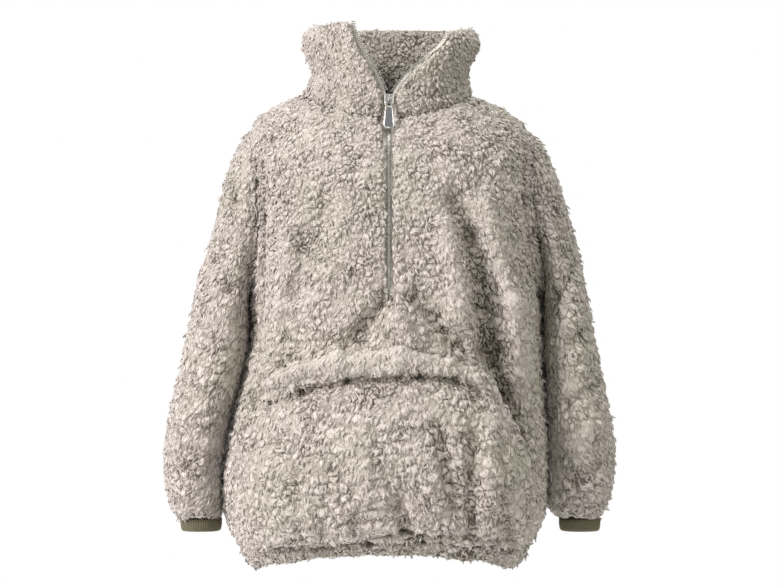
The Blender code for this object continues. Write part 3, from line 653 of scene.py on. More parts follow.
# %% Lines of the creases
CREASE_COLUMNS = ("x0", "z0", "x1", "z1", "width", "height")
CASING_SEAM = (
    (-116, -534, -22, -522, 4, -5), (-22, -522, 15, -513, 4, -7.5), (15, -513, 42, -518, 4, -7.5),
    (42, -518, 100, -517, 4, -7.5), (100, -517, 150, -524, 4, -4),
)
LEFT_ARMHOLE = (
    (-151, -80, -149, -143, 4, -7), (-149, -143, -150, -176, 4, -7), (-150, -176, -151, -244, 4, -8),
    (-151, -244, -155, -300, 4, -8),
)
RIGHT_ARMHOLE = (
    (163, -79, 162, -117, 4, -8), (162, -117, 171, -171, 5, -11), (171, -171, 177, -213, 5, -12),
    (177, -213, 182, -250, 5, -12),
)
CREASES = {
    "front": (
        *CASING_SEAM,
        (77, -123, 95, -164, 11, -8), (95, -164, 112, -246, 12, -9), (112, -246, 120, -300, 13, -11),
        (120, -300, 146, -374, 13, -10), (112, -130, 144, -240, 12, 7), (144, -240, 158, -330, 11, 7),
        (66, -150, 84, -262, 13, 7), (-1, -238, -46, -292, 10, -8), (30, -238, 85, -292, 10, -9),
        (12, -262, 24, -290, 10, 6), (-98, -164, -110, -234, 10, -6), (-124, -150, -132, -300, 10, 4),
        (-70, -118, -82, -180, 12, -4), (-118, -262, -134, -330, 10, -5),
        *LEFT_ARMHOLE,
        *RIGHT_ARMHOLE,
        (124, -308, 140, -345, 7, -8), (140, -345, 160, -400, 7, -9), (160, -400, 170, -450, 7, -7),
        (-154, -345, -168, -390, 7, -8), (-168, -390, -182, -480, 7, -7),
    ),
    "pocket": (
        *CASING_SEAM,
        (-139, -336, -104, -322, 8, 6), (-104, -322, -57, -311, 8, 7), (-57, -311, 13, -305, 8, 7),
        (13, -305, 71, -312, 8, 7), (71, -312, 106, -328, 8, 4), (-60, -318, 20, -312, 20, 4),
        (-145, -362, -104, -347, 4.5, -7), (-104, -347, -50, -334, 4.5, -9),
        (-50, -334, 36, -330, 4.5, -10), (36, -330, 77, -334, 4.5, -9), (77, -334, 104, -346, 4.5, -6),
        (60, -386, 77, -480, 10, -7), (95, -398, 97, -503, 10, -7), (10, -468, 24, -515, 9, -7),
        (-66, -430, -78, -515, 9, -3), (-112, -440, -104, -512, 9, -3), (134, -470, 138, -512, 7, -5),
        (-30, -380, -24, -470, 14, 4), (116, -380, 120, -470, 9, 4),
    ),
    "hem_band": (
        *CASING_SEAM,
        (10, -515, 28, -562, 7, -4), (-78, -515, -74, -562, 7, -3.5), (130, -505, 134, -562, 7, -4),
    ),
    "back": (
        (-30, -120, -74, -300, 12, -5), (-90, -150, -122, -330, 12, -5), (40, -110, 68, -290, 12, -6),
        (108, -160, 128, -330, 11, -4), (-20, -360, -38, -505, 10, -5), (58, -370, 76, -505, 10, -5),
        (6, -170, 12, -320, 14, 4),
    ),
    "sleeve_left": (
        *LEFT_ARMHOLE,
        (-160, -110, -172, -330, 12, -3), (-182, -120, -196, -190, 9, -5), (-214, -190, -186, -226, 8, -5),
        (-228, -262, -190, -296, 8, -5), (-246, -330, -206, -352, 8, -4.5),
        (-250, -372, -214, -410, 9, 3.5), (-256, -420, -222, -446, 7, -4),
        (-226, -470, -232, -500, 6, -3.5),
    ),
    "sleeve_right": (
        *RIGHT_ARMHOLE,
        (172, -100, 190, -240, 12, -3.5), (196, -110, 210, -190, 9, -5), (226, -196, 198, -236, 8, -5),
        (238, -268, 204, -304, 8, -5), (250, -336, 212, -362, 8, -4.5), (252, -380, 216, -414, 9, 3.5),
        (258, -430, 222, -450, 7, -4), (232, -470, 238, -500, 6, -3.5),
    ),
}

print("creases:", sum(len(rows) for rows in CREASES.values()))

# %% [markdown]
# ## Pressing the creases in
# Each point of a cloth moves along its own normal, by a bell-shaped share of the height
# that falls off beside the line. A displace modifier could do this from a painted map,
# but numbers stay exact. The move is also kept as a value on each point. The pile reads
# it, because pile parts in a fold and closes on a ridge, and the colour reads it to paint
# shade into the folds and a highlight onto the ridges.

# %% Move a cloth by its creases
# Where the sleeves lie against the sides, the pile of both fills the gap
TOUCH_TOP_MM, TOUCH_FADE_MM, TOUCH_FOOT_MM, FOOT_FADE_MM = -235.0, 60, -520, 40
TOUCH_SWELL_MM, TOUCH_DEPTH_MM = 6.0, 40.0
# A crease is full where the cloth faces it, and fades where the cloth turns away
FULL_CREASE_MM, FACING_GAIN = 10.0, 1.6
# Inside the neck the pile gets painted shade, the darker the deeper it lies
NECK_SHADE_MM, NECK_SHADE = (0.0, 40.0, 80.0), (-1.0, -0.75, -0.35)
# The casing's pile gets an even painted shade, darker all round
CASING_SHADE = -0.7


def place_creases(piece, node, way=1):
    """Moves the cloth along its normals by the creases' soft troughs and ridges."""
    count = len(piece.data.vertices)
    co, normals = np.empty(count * 3), np.empty(count * 3)
    piece.data.vertices.foreach_get("co", co)
    piece.data.vertices.foreach_get("normal", normals)
    co, normals = co.reshape(-1, 3) / MM, normals.reshape(-1, 3) * way
    lift = np.zeros(count)
    for values in CREASES.get(node, ()):
        line = dict(zip(CREASE_COLUMNS, values))
        start = np.array((line["x0"], line["z0"]))
        along = np.array((line["x1"], line["z1"])) - start
        off = co[:, (0, 2)] - start
        t = np.clip(off @ along / (along @ along), 0, 1)
        away = np.linalg.norm(off - t[:, None] * along, axis=1)
        lift += line["height"] * np.exp(-((away / line["width"]) ** 2))
    facing = normals[:, 1] if node == "back" else -normals[:, 1]
    lift *= np.clip(facing * FACING_GAIN, 0, 1)
    fold = np.clip(lift / FULL_CREASE_MM, -1, 1)
    # Inside the neck the crease value is only painted shade
    if node == "collar_inner":
        fold = np.interp(co[:, 2], NECK_SHADE_MM, NECK_SHADE)
    # The casing gets an even painted shade
    if node == "hem_band":
        fold = np.minimum(fold, CASING_SHADE)
    below = np.clip((TOUCH_TOP_MM - co[:, 2]) / TOUCH_FADE_MM, 0, 1)
    below *= np.clip((co[:, 2] - TOUCH_FOOT_MM) / FOOT_FADE_MM, 0, 1)
    near_side = np.exp(-((co[:, 1] / TOUCH_DEPTH_MM) ** 2))
    outward = normals[:, 0] * np.sign(co[:, 0])
    if node.startswith("sleeve"):
        outward = -outward
    if node in ("front", "back", "sleeve_left", "sleeve_right"):
        lift += TOUCH_SWELL_MM * below * near_side * np.clip(outward, 0, 1)
    co += normals * lift[:, None]
    piece.data.vertices.foreach_set("co", (co * MM).ravel())
    # The colour reads this as painted shade in folds and a painted highlight on ridges
    crease = piece.data.attributes.new("crease", "FLOAT", "POINT")
    crease.data.foreach_set("value", fold)
    piece.data.update()


print("a full crease is", FULL_CREASE_MM, "mm deep")

# %% [markdown]
# ## Grow the pile on every fleece piece
# The chest has short round nubs and the sleeves have longer, slimmer locks, so each
# piece gets its own row of sizes. The tufts are a little longer than the nubs. One loop
# makes all eight pieces the same way, so that they look like one cloth.

# %% Sizes of the pile, and the making of it
PILE_COLUMNS = ("nub_mm", "stretch", "deep_mm", "tuft_mm", "slim", "apart_mm", "curl", "seed")
SPACING_MM, ROUNDING_LEVELS = 2.5, 2
PILES = {
    "front": (6.0, 0.46, 4.2, 8.6, 0.55, 4.6, 0.45, 11),
    "back": (6.2, 0.42, 4.2, 10.0, 0.48, 5.6, 0.4, 23),
    "sleeve_left": (5.8, 0.36, 3.6, 9.8, 0.42, 4.8, 0.35, 37),
    "sleeve_right": (5.8, 0.36, 3.8, 9.8, 0.42, 4.8, 0.35, 41),
    "collar_outer": (6.2, 0.55, 4.0, 8.0, 0.60, 4.6, 0.7, 53),
    "collar_inner": (6.2, 0.55, 3.4, 8.0, 0.60, 5.0, 0.7, 67),
    "pocket": (6.0, 0.46, 4.4, 8.6, 0.55, 4.5, 0.45, 71),
    "hem_band": (5.6, 0.46, 3.4, 8.5, 0.50, 4.4, 0.4, 83),
}
# The front's pile stops behind the pocket, where nobody sees or feels it
POCKET_HIDES_MM = ((-136, -354), (110, -505))
CORES = {"sleeve_left": sleeve_core(-1), "sleeve_right": sleeve_core(1)}
CUT_DEPTH_MM, USUAL_CUT_MM = {"collar_outer": 8.0, "collar_inner": 8.0}, 5.5


def bare_under_pocket(piece):
    """Drops the front's pile behind the middle of the pocket."""
    (left, top), (right, foot) = POCKET_HIDES_MM
    mesh = bmesh.new()
    mesh.from_mesh(piece.data)
    behind = [
        v for v in mesh.verts
        if left < v.co.x / MM < right and foot < v.co.z / MM < top and v.co.y < 0
    ]
    bmesh.ops.delete(mesh, geom=behind, context="VERTS")
    mesh.to_mesh(piece.data)
    mesh.free()


for node, sizes in PILES.items():
    look = dict(zip(PILE_COLUMNS, sizes))
    core = CORES.get(node, torso_core)
    outer = skin(node, core, node != "collar_inner", ROUNDING_LEVELS, "outer_" + node)
    piece = even_wall(node, SPACING_MM, ROUNDING_LEVELS)
    peel = piece.modifiers.new("peel", "NODES")
    peel.node_group = peel_nodes("peel_" + node, outer, CUT_DEPTH_MM.get(node, USUAL_CUT_MM))
    settle(piece)
    place_creases(piece, node)
    if node == "front":
        bare_under_pocket(piece)
    curls = piece.modifiers.new("curls", "NODES")
    curls.node_group = wool_nodes("wool_" + node, look)
    settle(piece)
    bpy.data.objects.remove(outer, do_unlink=True)
    paint(piece, FLEECE)
    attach(piece, "garment")
    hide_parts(node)
    print(node, triangles(piece), "triangles")
for helper in list(tufts.objects):
    bpy.data.objects.remove(helper, do_unlink=True)

# %% [markdown]
# ## Jersey, the knit behind the pile
# Turned inside out, fleece shows a smooth polyester jersey that holds the pile. Modelled
# loops would be far too many, so rows and small cells in a bump stand for them. Real
# loops are about 1 mm wide, and they are drawn at 1.6 mm, because finer ones don't show.

# %% Jersey backing
LOOP_MM, BACKING_MM = 1.6, 1.2
# Turns threads per metre into a wave texture's scale, two threads to a band
WAVE_FACTOR = 6.3


def jersey_backing():
    """Fine jersey on the reverse: smooth, slightly ribbed, a shade darker than the pile."""
    made, tree, place = fresh_material("jersey_backing")
    rows = add(
        tree, WAVE,
        {"Vector": place, "Scale": 1000 / LOOP_MM / WAVE_FACTOR, "Distortion": 3.0, "Detail": 1.0},
        bands_direction="Z",
    )
    loops = add(tree, VORONOI, {"Vector": place, "Scale": 1000 / LOOP_MM})
    both = add(tree, MATH, (loops, 0.6, rows.outputs[1]), "MULTIPLY_ADD")
    feel = {"Roughness": 0.9, "IOR": 1.5, "Specular IOR Level": 0.3, "Sheen Weight": 0.15}
    finish_material(tree, loops, ("#b7ada0", "#968c7f"), feel, (both, 0.35, 0.0008))
    return made


JERSEY = jersey_backing()
print("jersey nodes:", len(JERSEY.node_tree.nodes))

# %% [markdown]
# ## The panels behind the pile
# The knit shows at the hem, the cuffs and down the neck, so each panel gets a thin shell
# on the wall's inner skin, with the same creases. It could be left out where the pile
# hides it, but the shell is the cloth that was cut, so it is whole and its flat size is
# stated. Its edges are drawn in a little, so that none shows at a seam.

# %% A thin shell on each inner skin
CUTS = {
    "front": (0.56, 0.54, 0.270, "gathered"),
    "back": (0.56, 0.56, 0.285, "gathered"),
    "sleeve_left": (0.31, 0.47, 0.125, "gathered"),
    "sleeve_right": (0.31, 0.47, 0.125, "gathered"),
    "collar_outer": (0.47, 0.10, 0.042, "hung"),
    "collar_inner": (0.43, 0.10, 0.038, "hung"),
    "pocket": (0.37, 0.25, 0.088, "hung"),
    "hem_band": (0.95, 0.029, 0.0262, "gathered"),
}
# A corner moves in this far, but never past most of its face
EDGE_HIDDEN_MM, MOST_OF_FACE = 3.5, 0.7


def trim_edges(shell, strips):
    """Draws the shell's rim in, so that the pile covers it at every seam."""
    mesh = bmesh.new()
    mesh.from_mesh(shell.data)
    for _ in range(strips):
        rim = [face for face in mesh.faces if any(v.is_boundary for v in face.verts)]
        bmesh.ops.delete(mesh, geom=rim, context="FACES")
    moves = {}
    for corner in mesh.verts:
        inside = [e.other_vert(corner) for e in corner.link_edges if not e.other_vert(corner).is_boundary]
        if corner.is_boundary and inside:
            way = sum((v.co for v in inside), Vector()) / len(inside) - corner.co
            moves[corner] = way.normalized() * min(EDGE_HIDDEN_MM * MM, way.length * MOST_OF_FACE)
    for corner, move in moves.items():
        corner.co += move
    mesh.to_mesh(shell.data)
    mesh.free()


for node, values in CUTS.items():
    shell = skin(node, CORES.get(node, torso_core), node == "collar_inner", 1, "backing_" + node)
    place_creases(shell, node, -1)
    trim_edges(shell, 1 if node.startswith("collar") else 0)
    wall = shell.modifiers.new("thickness", "SOLIDIFY")
    wall.thickness = BACKING_MM * MM
    wall.offset = -1
    settle(shell)
    paint(shell, JERSEY)
    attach(shell, "garment")
    area = sum(face.area for face in shell.data.polygons) / 2
    print(node, "backing", round(area, 4), "m2,", triangles(shell), "triangles")

# %% [markdown]
# ## Knit cuffs
# The cuffs are elastic rib knit: ridges about 2.5 mm apart run along the arm, and the
# free edge is folded under. A texture would leave the edge smooth, so each rib is
# modelled. The ring is a soft-cornered oval that the plain cuff's box gives.

# %% Rib knit and its cuffs
RIBS, RIB_POINTS, RIB_HIGH_MM = 78, 5, 0.8
CUFF_WALL_MM = 2.6
# A soft-cornered oval, and how long it is beside its box's outline
SQUARENESS, OVAL_SHARE = 2.5, 0.82
# Each ring of the cuff: how far down, how tapered, and how far inside the wall
CUFF_RINGS = (
    (0.0, 1.0, 0.0), (0.2, 1.0, 0.0), (0.45, 1.0, 0.0), (0.7, 0.98, 0.0), (0.9, 0.955, 0.0),
    (1.0, 0.93, 0.3), (1.0, 0.93, 0.8), (0.85, 0.955, 1.0), (0.5, 1.0, 1.0), (0.0, 1.0, 1.0),
)


def rib_knit():
    """Elastic rib, dyed to match but darker: matt ridges with a little fuzz."""
    made, tree, place = fresh_material("rib_knit")
    stitches = add(
        tree, WAVE, {"Vector": place, "Scale": 110.0, "Distortion": 2.0, "Detail": 2.0}, bands_direction="Z",
    )
    fuzz = add(tree, NOISE, {"Vector": place, "Scale": 900.0, "Detail": 3.0})
    both = add(tree, MATH, (fuzz, 0.6, stitches.outputs[1]), "MULTIPLY_ADD")
    feel = {"Roughness": 0.92, "IOR": 1.5, "Specular IOR Level": 0.25, "Sheen Weight": 0.2}
    finish_material(tree, fuzz, ("#57523f", "#7d7863"), feel, (both, 0.4, 0.0006))
    return made


def wall_between(mesh, near, far):
    """Faces between two rings of corners."""
    for k in range(len(near)):
        after = (k + 1) % len(near)
        mesh.faces.new((near[k], near[after], far[after], far[k]))


def ribbed_cuff(node):
    """A short ribbed tube, folded in at its free edge."""
    low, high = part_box(node)
    middle = (low + high) / 2
    half = (high - low) / 2
    tall = high.z - low.z
    turns = np.arange(RIBS * RIB_POINTS) / (RIBS * RIB_POINTS) * 2 * math.pi
    across, ahead = np.sin(turns), np.cos(turns)
    reach = (abs(across) ** SQUARENESS + abs(ahead) ** SQUARENESS) ** (-1 / SQUARENESS)
    ribs = RIB_HIGH_MM * MM * (np.cos(turns * RIBS) - 1) / 2
    mesh = bmesh.new()
    rings = []
    for down, taper, inside in CUFF_RINGS:
        less = CUFF_WALL_MM * MM * inside
        x = middle.x + across * reach * (half.x * taper - less + ribs * (1 - inside))
        y = middle.y + ahead * reach * (half.y * taper - less + ribs * (1 - inside))
        z = high.z - tall * down
        rings.append([mesh.verts.new((a, b, z)) for a, b in zip(x, y)])
    for near, far in zip(rings, rings[1:] + rings[:1]):
        wall_between(mesh, near, far)
    bmesh.ops.recalc_face_normals(mesh, faces=mesh.faces)
    made = new_object("ribbed_" + node, mesh)
    paint(made, RIB_KNIT)
    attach(made, "garment")
    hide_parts(node)
    round_way = 4 * (half.x + half.y) * OVAL_SHARE
    print(node, triangles(made), "triangles, round", round(round_way, 3))


RIB_KNIT = rib_knit()
for node in ("cuff_left", "cuff_right"):
    ribbed_cuff(node)

# %% [markdown]
# ## Zip tape
# The tape is woven polyester, in a herringbone of threads half a millimetre wide. The
# plain tape already has the right path, so it is rounded and given the weave. Threads
# are drawn at 0.9 mm, because real ones would be lost at this distance.

# %% Woven tape
THREAD_MM = 0.9
TWILL_SLANT = math.radians(35)


def woven_tape():
    """Woven polyester tape: even slanting ribs with a faint gloss."""
    made, tree, place = fresh_material("woven_tape")
    slant = add(tree, "ShaderNodeMapping", {"Vector": place, "Rotation": (0, TWILL_SLANT, 0)})
    twill = add(
        tree, WAVE, {"Vector": slant, "Scale": 1000 / THREAD_MM / WAVE_FACTOR, "Distortion": 0.4},
        bands_direction="Z",
    )
    soil = add(tree, NOISE, {"Vector": place, "Scale": 90.0, "Detail": 3.0})
    mixed = add(tree, MATH, (soil, 0.6, twill.outputs[1]), "MULTIPLY_ADD")
    feel = {"Roughness": 0.78, "IOR": 1.5, "Sheen Weight": 0.1}
    finish_material(tree, mixed, ("#d3cdc3", "#ebe6dd"), feel, (twill.outputs[1], 0.5, 0.0004))
    return made


TAPE = woven_tape()
# How far the closed zip comes forward, in shares at heights from its foot to the pull
FORWARD_MM, FORWARD_SHARE = 3.2, (0.0, 1.0, 1.0, 0.0)
TAPE_FOOT_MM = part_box("zip_tape_left")[0].z / MM
FORWARD_AT_MM = (TAPE_FOOT_MM + 4, TAPE_FOOT_MM + 15, -46.0, -24.0)


def come_forward(point):
    """Below the pull the closed zip lies near the pile's level, and its ends dive under."""
    share = float(np.interp(point.z / MM, FORWARD_AT_MM, FORWARD_SHARE))
    return point + Vector((0, -FORWARD_MM * MM * share, 0))


for hand in ("left", "right"):
    tape = new_object("tape_" + hand, wall_mesh("zip_tape_" + hand))
    rounding = tape.modifiers.new("rounding", "SUBSURF")
    rounding.levels = 2
    settle(tape)
    for corner in tape.data.vertices:
        corner.co = come_forward(corner.co)
    paint(tape, TAPE)
    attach(tape, "garment")
    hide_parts("zip_tape_" + hand)
    print("tape", hand, triangles(tape), "triangles")

# %% [markdown]
# ## Nickel
# The teeth, the slider and the pull are cast zinc, tumbled smooth and plated with
# nickel. Plating gives a bright, slightly warm grey, with tiny scratches where the
# pull is gripped. A flat grey would look like plastic, so it is fully metallic, and its
# roughness changes in soft patches. Its IOR stays as it is for every metal.

# %% Nickel plate


def plated_nickel():
    """Nickel plate: bright metal, roughened by handling in soft patches."""
    made, tree, place = fresh_material("plated_nickel")
    wear = add(tree, NOISE, {"Vector": place, "Scale": 260.0, "Detail": 4.0})
    rough = add(tree, MAP_RANGE, (wear, 0.3, 0.7, 0.18, 0.36))
    feel = {"Metallic": 1.0, "Roughness": rough}
    finish_material(tree, wear, ("#9d9b96", "#c3c1bb"), feel, (wear, 0.08, 0.0002))
    return made


NICKEL = plated_nickel()
print("nickel nodes:", len(NICKEL.node_tree.nodes))

# %% [markdown]
# ## Slate enamel
# The middle of the pull is a shallow recess filled with baked enamel in slate grey. It
# is smooth and half glossy, with a little dust in it. Enamel is a glassy coat, so it
# isn't metallic, and a small change of tone keeps it from looking like plain plastic.

# %% Enamel


def slate_enamel():
    """Baked enamel in the pull's recess: dark, even and half glossy."""
    made, tree, place = fresh_material("slate_enamel")
    dust = add(tree, NOISE, {"Vector": place, "Scale": 500.0, "Detail": 3.0})
    finish_material(tree, dust, ("#4c5152", "#6b7070"), {"Roughness": 0.38, "IOR": 1.5})
    return made


ENAMEL = slate_enamel()
print("enamel nodes:", len(ENAMEL.node_tree.nodes))

# %% [markdown]
# ## Zip teeth
# Each tooth is a small hooked block clamped on its tape, and the two rows mesh half a
# pitch apart below the slider. A bar would look like a bead, so every tooth is a mesh
# of its own, set along the plain bars' middle lines, and each row is one joined piece.

# %% Teeth along a path
TOOTH_PITCH_MM = 2.7
CAST_EDGE = math.radians(35)
TOOTH_OUTLINE_MM = (
    (-1.7, -0.72), (0.4, -0.60), (0.9, -0.78), (2.1, -0.60),
    (2.4, 0.0), (2.1, 0.60), (0.9, 0.78), (0.4, 0.60), (-1.7, 0.72),
)
TOOTH_HALF_DEEP_MM, TOOTH_EDGE_MM = 1.3, 0.25


def bar_rows(node, split_by_side):
    """Each cross row of a plain bar as its middle, its way across and its way out."""

    def inwards(point):
        return -Vector((point.x, point.y)).length

    mesh = wall_mesh(node)
    points = sorted((v.co.copy() for v in mesh.verts), key=lambda p: -p.z)
    mesh.free()
    rows = []
    for k in range(0, len(points), 4):
        four = points[k : k + 4]
        middle = sum(four, Vector()) / 4
        four.sort(key=lambda p: p.x if split_by_side else -abs(math.atan2(p.x, -p.y)))
        across = ((four[2] + four[3]) - (four[0] + four[1])).normalized()
        pairs = [sorted(pair, key=inwards) for pair in (four[:2], four[2:])]
        outward = (pairs[0][0] + pairs[1][0] - pairs[0][1] - pairs[1][1]).normalized()
        rows.append((middle, across, outward))
    return rows


def along_rows(rows, pitch, shift):
    """Frames at even steps along the rows."""
    middles = [row[0] for row in rows]
    lengths = [0.0]
    for near, far in zip(middles, middles[1:]):
        lengths.append(lengths[-1] + (far - near).length)
    frames = []
    place = pitch / 2 + shift
    while place < lengths[-1] - pitch / 4:
        k = int(np.searchsorted(lengths, place)) - 1
        share = (place - lengths[k]) / (lengths[k + 1] - lengths[k])
        middle = rows[k][0].lerp(rows[k + 1][0], share)
        across = rows[k][1].lerp(rows[k + 1][1], share).normalized()
        outward = rows[k][2].lerp(rows[k + 1][2], share)
        outward = (outward - across * outward.dot(across)).normalized()
        frames.append((middle, across, outward))
        place += pitch
    return frames


def add_tooth(mesh, middle, across, outward, clamp):
    """One tooth: an outlined block with narrowed faces, its legs longer by clamp."""
    along = outward.cross(across)
    layers = []
    for depth, shrink in (
        (-TOOTH_HALF_DEEP_MM, 0.0),
        (TOOTH_HALF_DEEP_MM - TOOTH_EDGE_MM, 0.0),
        (TOOTH_HALF_DEEP_MM, TOOTH_EDGE_MM),
    ):
        ring = []
        for u, v in TOOTH_OUTLINE_MM:
            u = u if u > 0 else u * clamp
            u_in = u - math.copysign(min(shrink, abs(u)), u)
            v_in = v - math.copysign(min(shrink, abs(v)), v) if v else 0.0
            spot = middle + (across * u_in + along * v_in + outward * depth) * MM
            ring.append(mesh.verts.new(spot))
        layers.append(ring)
    for near, far in zip(layers, layers[1:]):
        wall_between(mesh, near, far)
    mesh.faces.new(layers[-1])
    mesh.faces.new(layers[0][::-1])


def teeth(name, node, frames_list, clamp):
    """Rows of teeth as one nickel piece."""
    mesh = bmesh.new()
    for frames in frames_list:
        for middle, across, outward in frames:
            add_tooth(mesh, middle, across, outward, clamp)
    bmesh.ops.recalc_face_normals(mesh, faces=mesh.faces)
    made = new_object(name, mesh)
    made.data.set_sharp_from_angle(angle=CAST_EDGE)
    paint(made, NICKEL)
    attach(made, "garment")
    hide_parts(node)
    print(name, len(made.data.polygons), "faces")


pitch = TOOTH_PITCH_MM * MM
# The open teeth stand clear of the pile along both edges of the collar, with longer
# legs on the tape so that the row shows from afar. The closed rows lie side by side.
PROUD_MM, OPEN_CLAMP, CLOSED_CLAMP, ROW_ASIDE_MM = (1.5, 3.0), 1.6, 1.0, 1.0
for hand in ("left", "right"):
    rows = bar_rows("zip_teeth_" + hand, False)
    frames = along_rows(rows, pitch, 0.0)
    proud = [(m + (x * PROUD_MM[0] + o * PROUD_MM[1]) * MM, x, o) for m, x, o in frames]
    teeth("teeth_" + hand, "zip_teeth_" + hand, [proud], OPEN_CLAMP)
closed = bar_rows("zip_chain", True)
meshed = []
for aside, shift in ((-ROW_ASIDE_MM * MM, 0.0), (ROW_ASIDE_MM * MM, pitch / 2)):
    facing = math.copysign(1, -aside)
    row = along_rows(closed, pitch, shift)
    meshed.append([(come_forward(m + x * aside), x * facing, o) for m, x, o in row])
teeth("teeth_closed", "zip_chain", meshed, CLOSED_CLAMP)

# %% [markdown]
# ## Slider and stop
# Both are small castings. Their plain solids have the right form already, so they could
# be replaced only by the same thing. They stay, and are plated.

# %% Plate the slider and the stop
for node in ("zip_slider", "zip_stop"):
    solid = frame["nodes"][node]
    paint(solid, NICKEL)
    print(node, "plated")

# %% [markdown]
# ## The pull
# The pull hangs from the slider's bridge and swings on its own, so it rides on its own
# body. It is a flat die-cast plate with a slot, a raised rim and an enamelled middle, the
# same on both faces. Boolean cuts would leave rough edges, so flat curves give the plate
# with its hole and its rounded edge, and then they become a mesh.

# %% The pull, drawn flat and leaned to its place
PULL_LEAN, RIM_EDGE = 17.0, math.radians(40)
PULL_RIGHT_MM = ((3.0, 1.1), (4.2, -0.1), (4.2, -8.0), (6.5, -32.0), (5.1, -35.8), (3.3, -37.0))
SLOT_HALF_MM, SLOT_TOP_MM, SLOT_FOOT_MM, CURVE_WELD_MM = 2.1, -1.1, -8.6, 0.01
PANEL_RIGHT_MM = ((3.0, -10.4), (3.6, -11.2), (5.5, -32.0), (4.4, -34.8), (3.0, -35.8))
# Half thicknesses, rounded edges, and how far the two faces lie from the middle
PLATE_HALF_MM, PLATE_ROUND_MM, RIM_ROUND_MM, ENAMEL_HALF_MM = 0.45, 0.3, 0.38, 0.06
FACE_MM, ENAMEL_SINKS = 0.78, 0.98
pivot = Vector(frame["joints"][0]["pos_m"])
PULL_PLACE = Matrix.Translation(pivot) @ Matrix.Rotation(math.radians(90 - PULL_LEAN), 4, "X")


def both_sides(right):
    """An outline from its right half."""
    return [*right, *[(-x, y) for x, y in reversed(right)]]


def flat_curve(name, outlines, half_thick, rounding, filled, lift=0.0):
    """Closed outlines as a rounded flat plate or as round wire, as a mesh."""
    path = bpy.data.curves.new(name, "CURVE")
    path.dimensions = "2D" if filled else "3D"
    path.fill_mode = "BOTH" if filled else "FULL"
    path.extrude = half_thick * MM if filled else 0.0
    path.bevel_depth = rounding * MM
    path.bevel_resolution = 2
    for outline in outlines:
        line = path.splines.new("POLY")
        line.points.add(len(outline) - 1)
        line.use_cyclic_u = True
        for point, (x, y) in zip(line.points, outline):
            point.co = (x * MM, y * MM, 0, 1)
    drawn = in_scene(name, path)
    bpy.context.view_layer.update()
    ready = drawn.evaluated_get(bpy.context.evaluated_depsgraph_get())
    data = bpy.data.meshes.new_from_object(ready)
    bpy.data.objects.remove(drawn, do_unlink=True)
    weld = bmesh.new()
    weld.from_mesh(data)
    bmesh.ops.remove_doubles(weld, verts=weld.verts, dist=CURVE_WELD_MM * MM)
    bmesh.ops.transform(weld, matrix=PULL_PLACE @ Matrix.Translation((0, 0, lift * MM)), verts=weld.verts)
    weld.to_mesh(data)
    weld.free()
    data.name = name
    return in_scene(name, data)


def pull_piece(name, metal, *shape):
    """One part of the pull, which swings with it."""
    made = flat_curve(name, *shape)
    paint(made, metal)
    made.data.shade_smooth()
    made.data.set_sharp_from_angle(angle=RIM_EDGE)
    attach(made, "pull")
    return made


slot = [
    (-SLOT_HALF_MM, SLOT_TOP_MM), (-SLOT_HALF_MM, SLOT_FOOT_MM),
    (SLOT_HALF_MM, SLOT_FOOT_MM), (SLOT_HALF_MM, SLOT_TOP_MM),
]
outlines = [both_sides(PULL_RIGHT_MM), slot]
plate = pull_piece("pull_plate", NICKEL, outlines, PLATE_HALF_MM, PLATE_ROUND_MM, True)
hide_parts("pull_tab")
panel = [both_sides(PANEL_RIGHT_MM)]
for side, lift in (("front", FACE_MM), ("back", -FACE_MM)):
    pull_piece("pull_rim_" + side, NICKEL, panel, 0.0, RIM_ROUND_MM, False, lift)
    pull_piece("pull_enamel_" + side, ENAMEL, panel, ENAMEL_HALF_MM, 0.0, True, lift * ENAMEL_SINKS)
print("pull pivot:", tuple(round(v, 4) for v in pivot))

# %% [markdown]
# ## The camera
# The picture is a shop's cut-out, taken level and from afar. So the camera stands four
# metres away at the height of the chest, with a long lens that keeps the sides straight.

# %% The view
CAMERA_AWAY, CAMERA_ASIDE, CAMERA_HEIGHT = 4.0, 0.0012, -0.231
VIEW_WIDTH, SENSOR_MM = 0.936, 36.0
eye = bpy.data.cameras.new("eye")
eye.sensor_width = SENSOR_MM
eye.lens = SENSOR_MM * CAMERA_AWAY / VIEW_WIDTH
eye.dof.use_dof = False
camera = in_scene("eye", eye)
camera.location = (CAMERA_ASIDE, -CAMERA_AWAY, CAMERA_HEIGHT)
camera.rotation_euler = (math.radians(90), 0, 0)
bpy.context.scene.camera = camera
print("lens:", round(eye.lens, 1), "mm")

# %% [markdown]
# ## The floor
# A cut-out shows no floor, but other views need one. A sweep would hide the garment from
# behind, so it is a round sheet of white paper that lies well below the hem.

# %% A round pale floor
FLOOR_HEIGHT, FLOOR_RADIUS = -1.15, 1.4


def floor():
    """A disc of matt white paper, far below the hem and clear of the view."""
    mesh = bmesh.new()
    bmesh.ops.create_circle(mesh, cap_ends=True, radius=FLOOR_RADIUS, segments=96)
    bmesh.ops.translate(mesh, vec=(0, 0, FLOOR_HEIGHT), verts=mesh.verts)
    made = new_object("studio_floor", mesh)
    paper, tree, _ = fresh_material("white_paper")
    grain = add(tree, NOISE, {"Scale": 60.0, "Detail": 2.0})
    bump = add(tree, BUMP, {"Height": grain, "Strength": 0.02})
    shader = add(tree, SHADER, {"Base Color": linear("#f7f7f6"), "Roughness": 0.9, "Normal": bump})
    add(tree, SHADER_END, {"Surface": shader})
    paint(made, paper)
    return made


floor()
print("floor at", FLOOR_HEIGHT, "m")

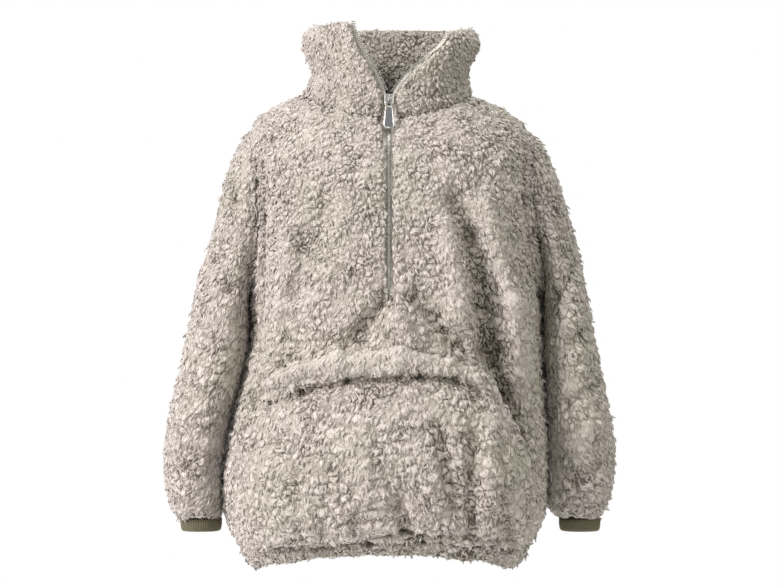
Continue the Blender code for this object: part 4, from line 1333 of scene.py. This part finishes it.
# %% [markdown]
# ## Studio light
# In the picture the left side is bright and slightly pink, the right is dimmer and more
# yellow, and the folds stay soft. A big key light stands high on the left with a low one
# under it, and a wide, warmer fill stands on the right. The air is white to the camera,
# and pale for the cloth, so that the grooves keep their shadows.

# %% Lamps and air
LIGHT_COLUMNS = ("name", "place", "size", "watts", "hex")
LIGHTS = (
    ("key", (-2.1, -1.5, 1.2), 0.8, 64.0, "#fff9fa"),
    ("low", (-3.0, -2.0, -0.3), 1.0, 70.0, "#fffaf9"),
    ("fill", (2.5, -2.7, 0.9), 1.6, 45.0, "#fdf8ea"),
    ("top", (0.4, -0.5, 2.2), 1.0, 30.0, "#ffffff"),
    ("behind", (1.0, 3.0, 1.7), 1.4, 88.0, "#ffffff"),
)
AIMED_AT = Vector((0, 0, -0.25))
# Polished metal mirrors this share of the white studio around it
METAL_SEES, AIR_ON_CLOTH = 0.6, 0.18


def lamp(values):
    """One square soft box, aimed at the chest."""
    at = dict(zip(LIGHT_COLUMNS, values))
    data = bpy.data.lights.new(at["name"], "AREA")
    data.size = at["size"]
    data.energy = at["watts"]
    data.color = linear(at["hex"])[:3]
    made = in_scene(at["name"], data)
    made.location = at["place"]
    aim = AIMED_AT - Vector(at["place"])
    made.rotation_euler = aim.to_track_quat("-Z", "Y").to_euler()


for values in LIGHTS:
    lamp(values)
world = bpy.data.worlds.new("studio")
world.use_nodes = True
air = world.node_tree
air.nodes.clear()
seen = add(air, "ShaderNodeLightPath").outputs
white, soft = (
    add(air, "ShaderNodeBackground", {"Color": linear(colour), "Strength": strength})
    for colour, strength in (("#ffffff", 1.0), ("#f8f7f4", AIR_ON_CLOTH))
)
inputs = (seen["Is Glossy Ray"], METAL_SEES, seen["Is Camera Ray"])
bright = add(air, MATH, inputs, "MULTIPLY_ADD")
sky = add(air, "ShaderNodeMixShader", (bright, soft, white))
add(air, "ShaderNodeOutputWorld", {"Surface": sky})
bpy.context.scene.world = world
bpy.context.scene.view_settings.view_transform = "Standard"
print("lights:", len(LIGHTS))
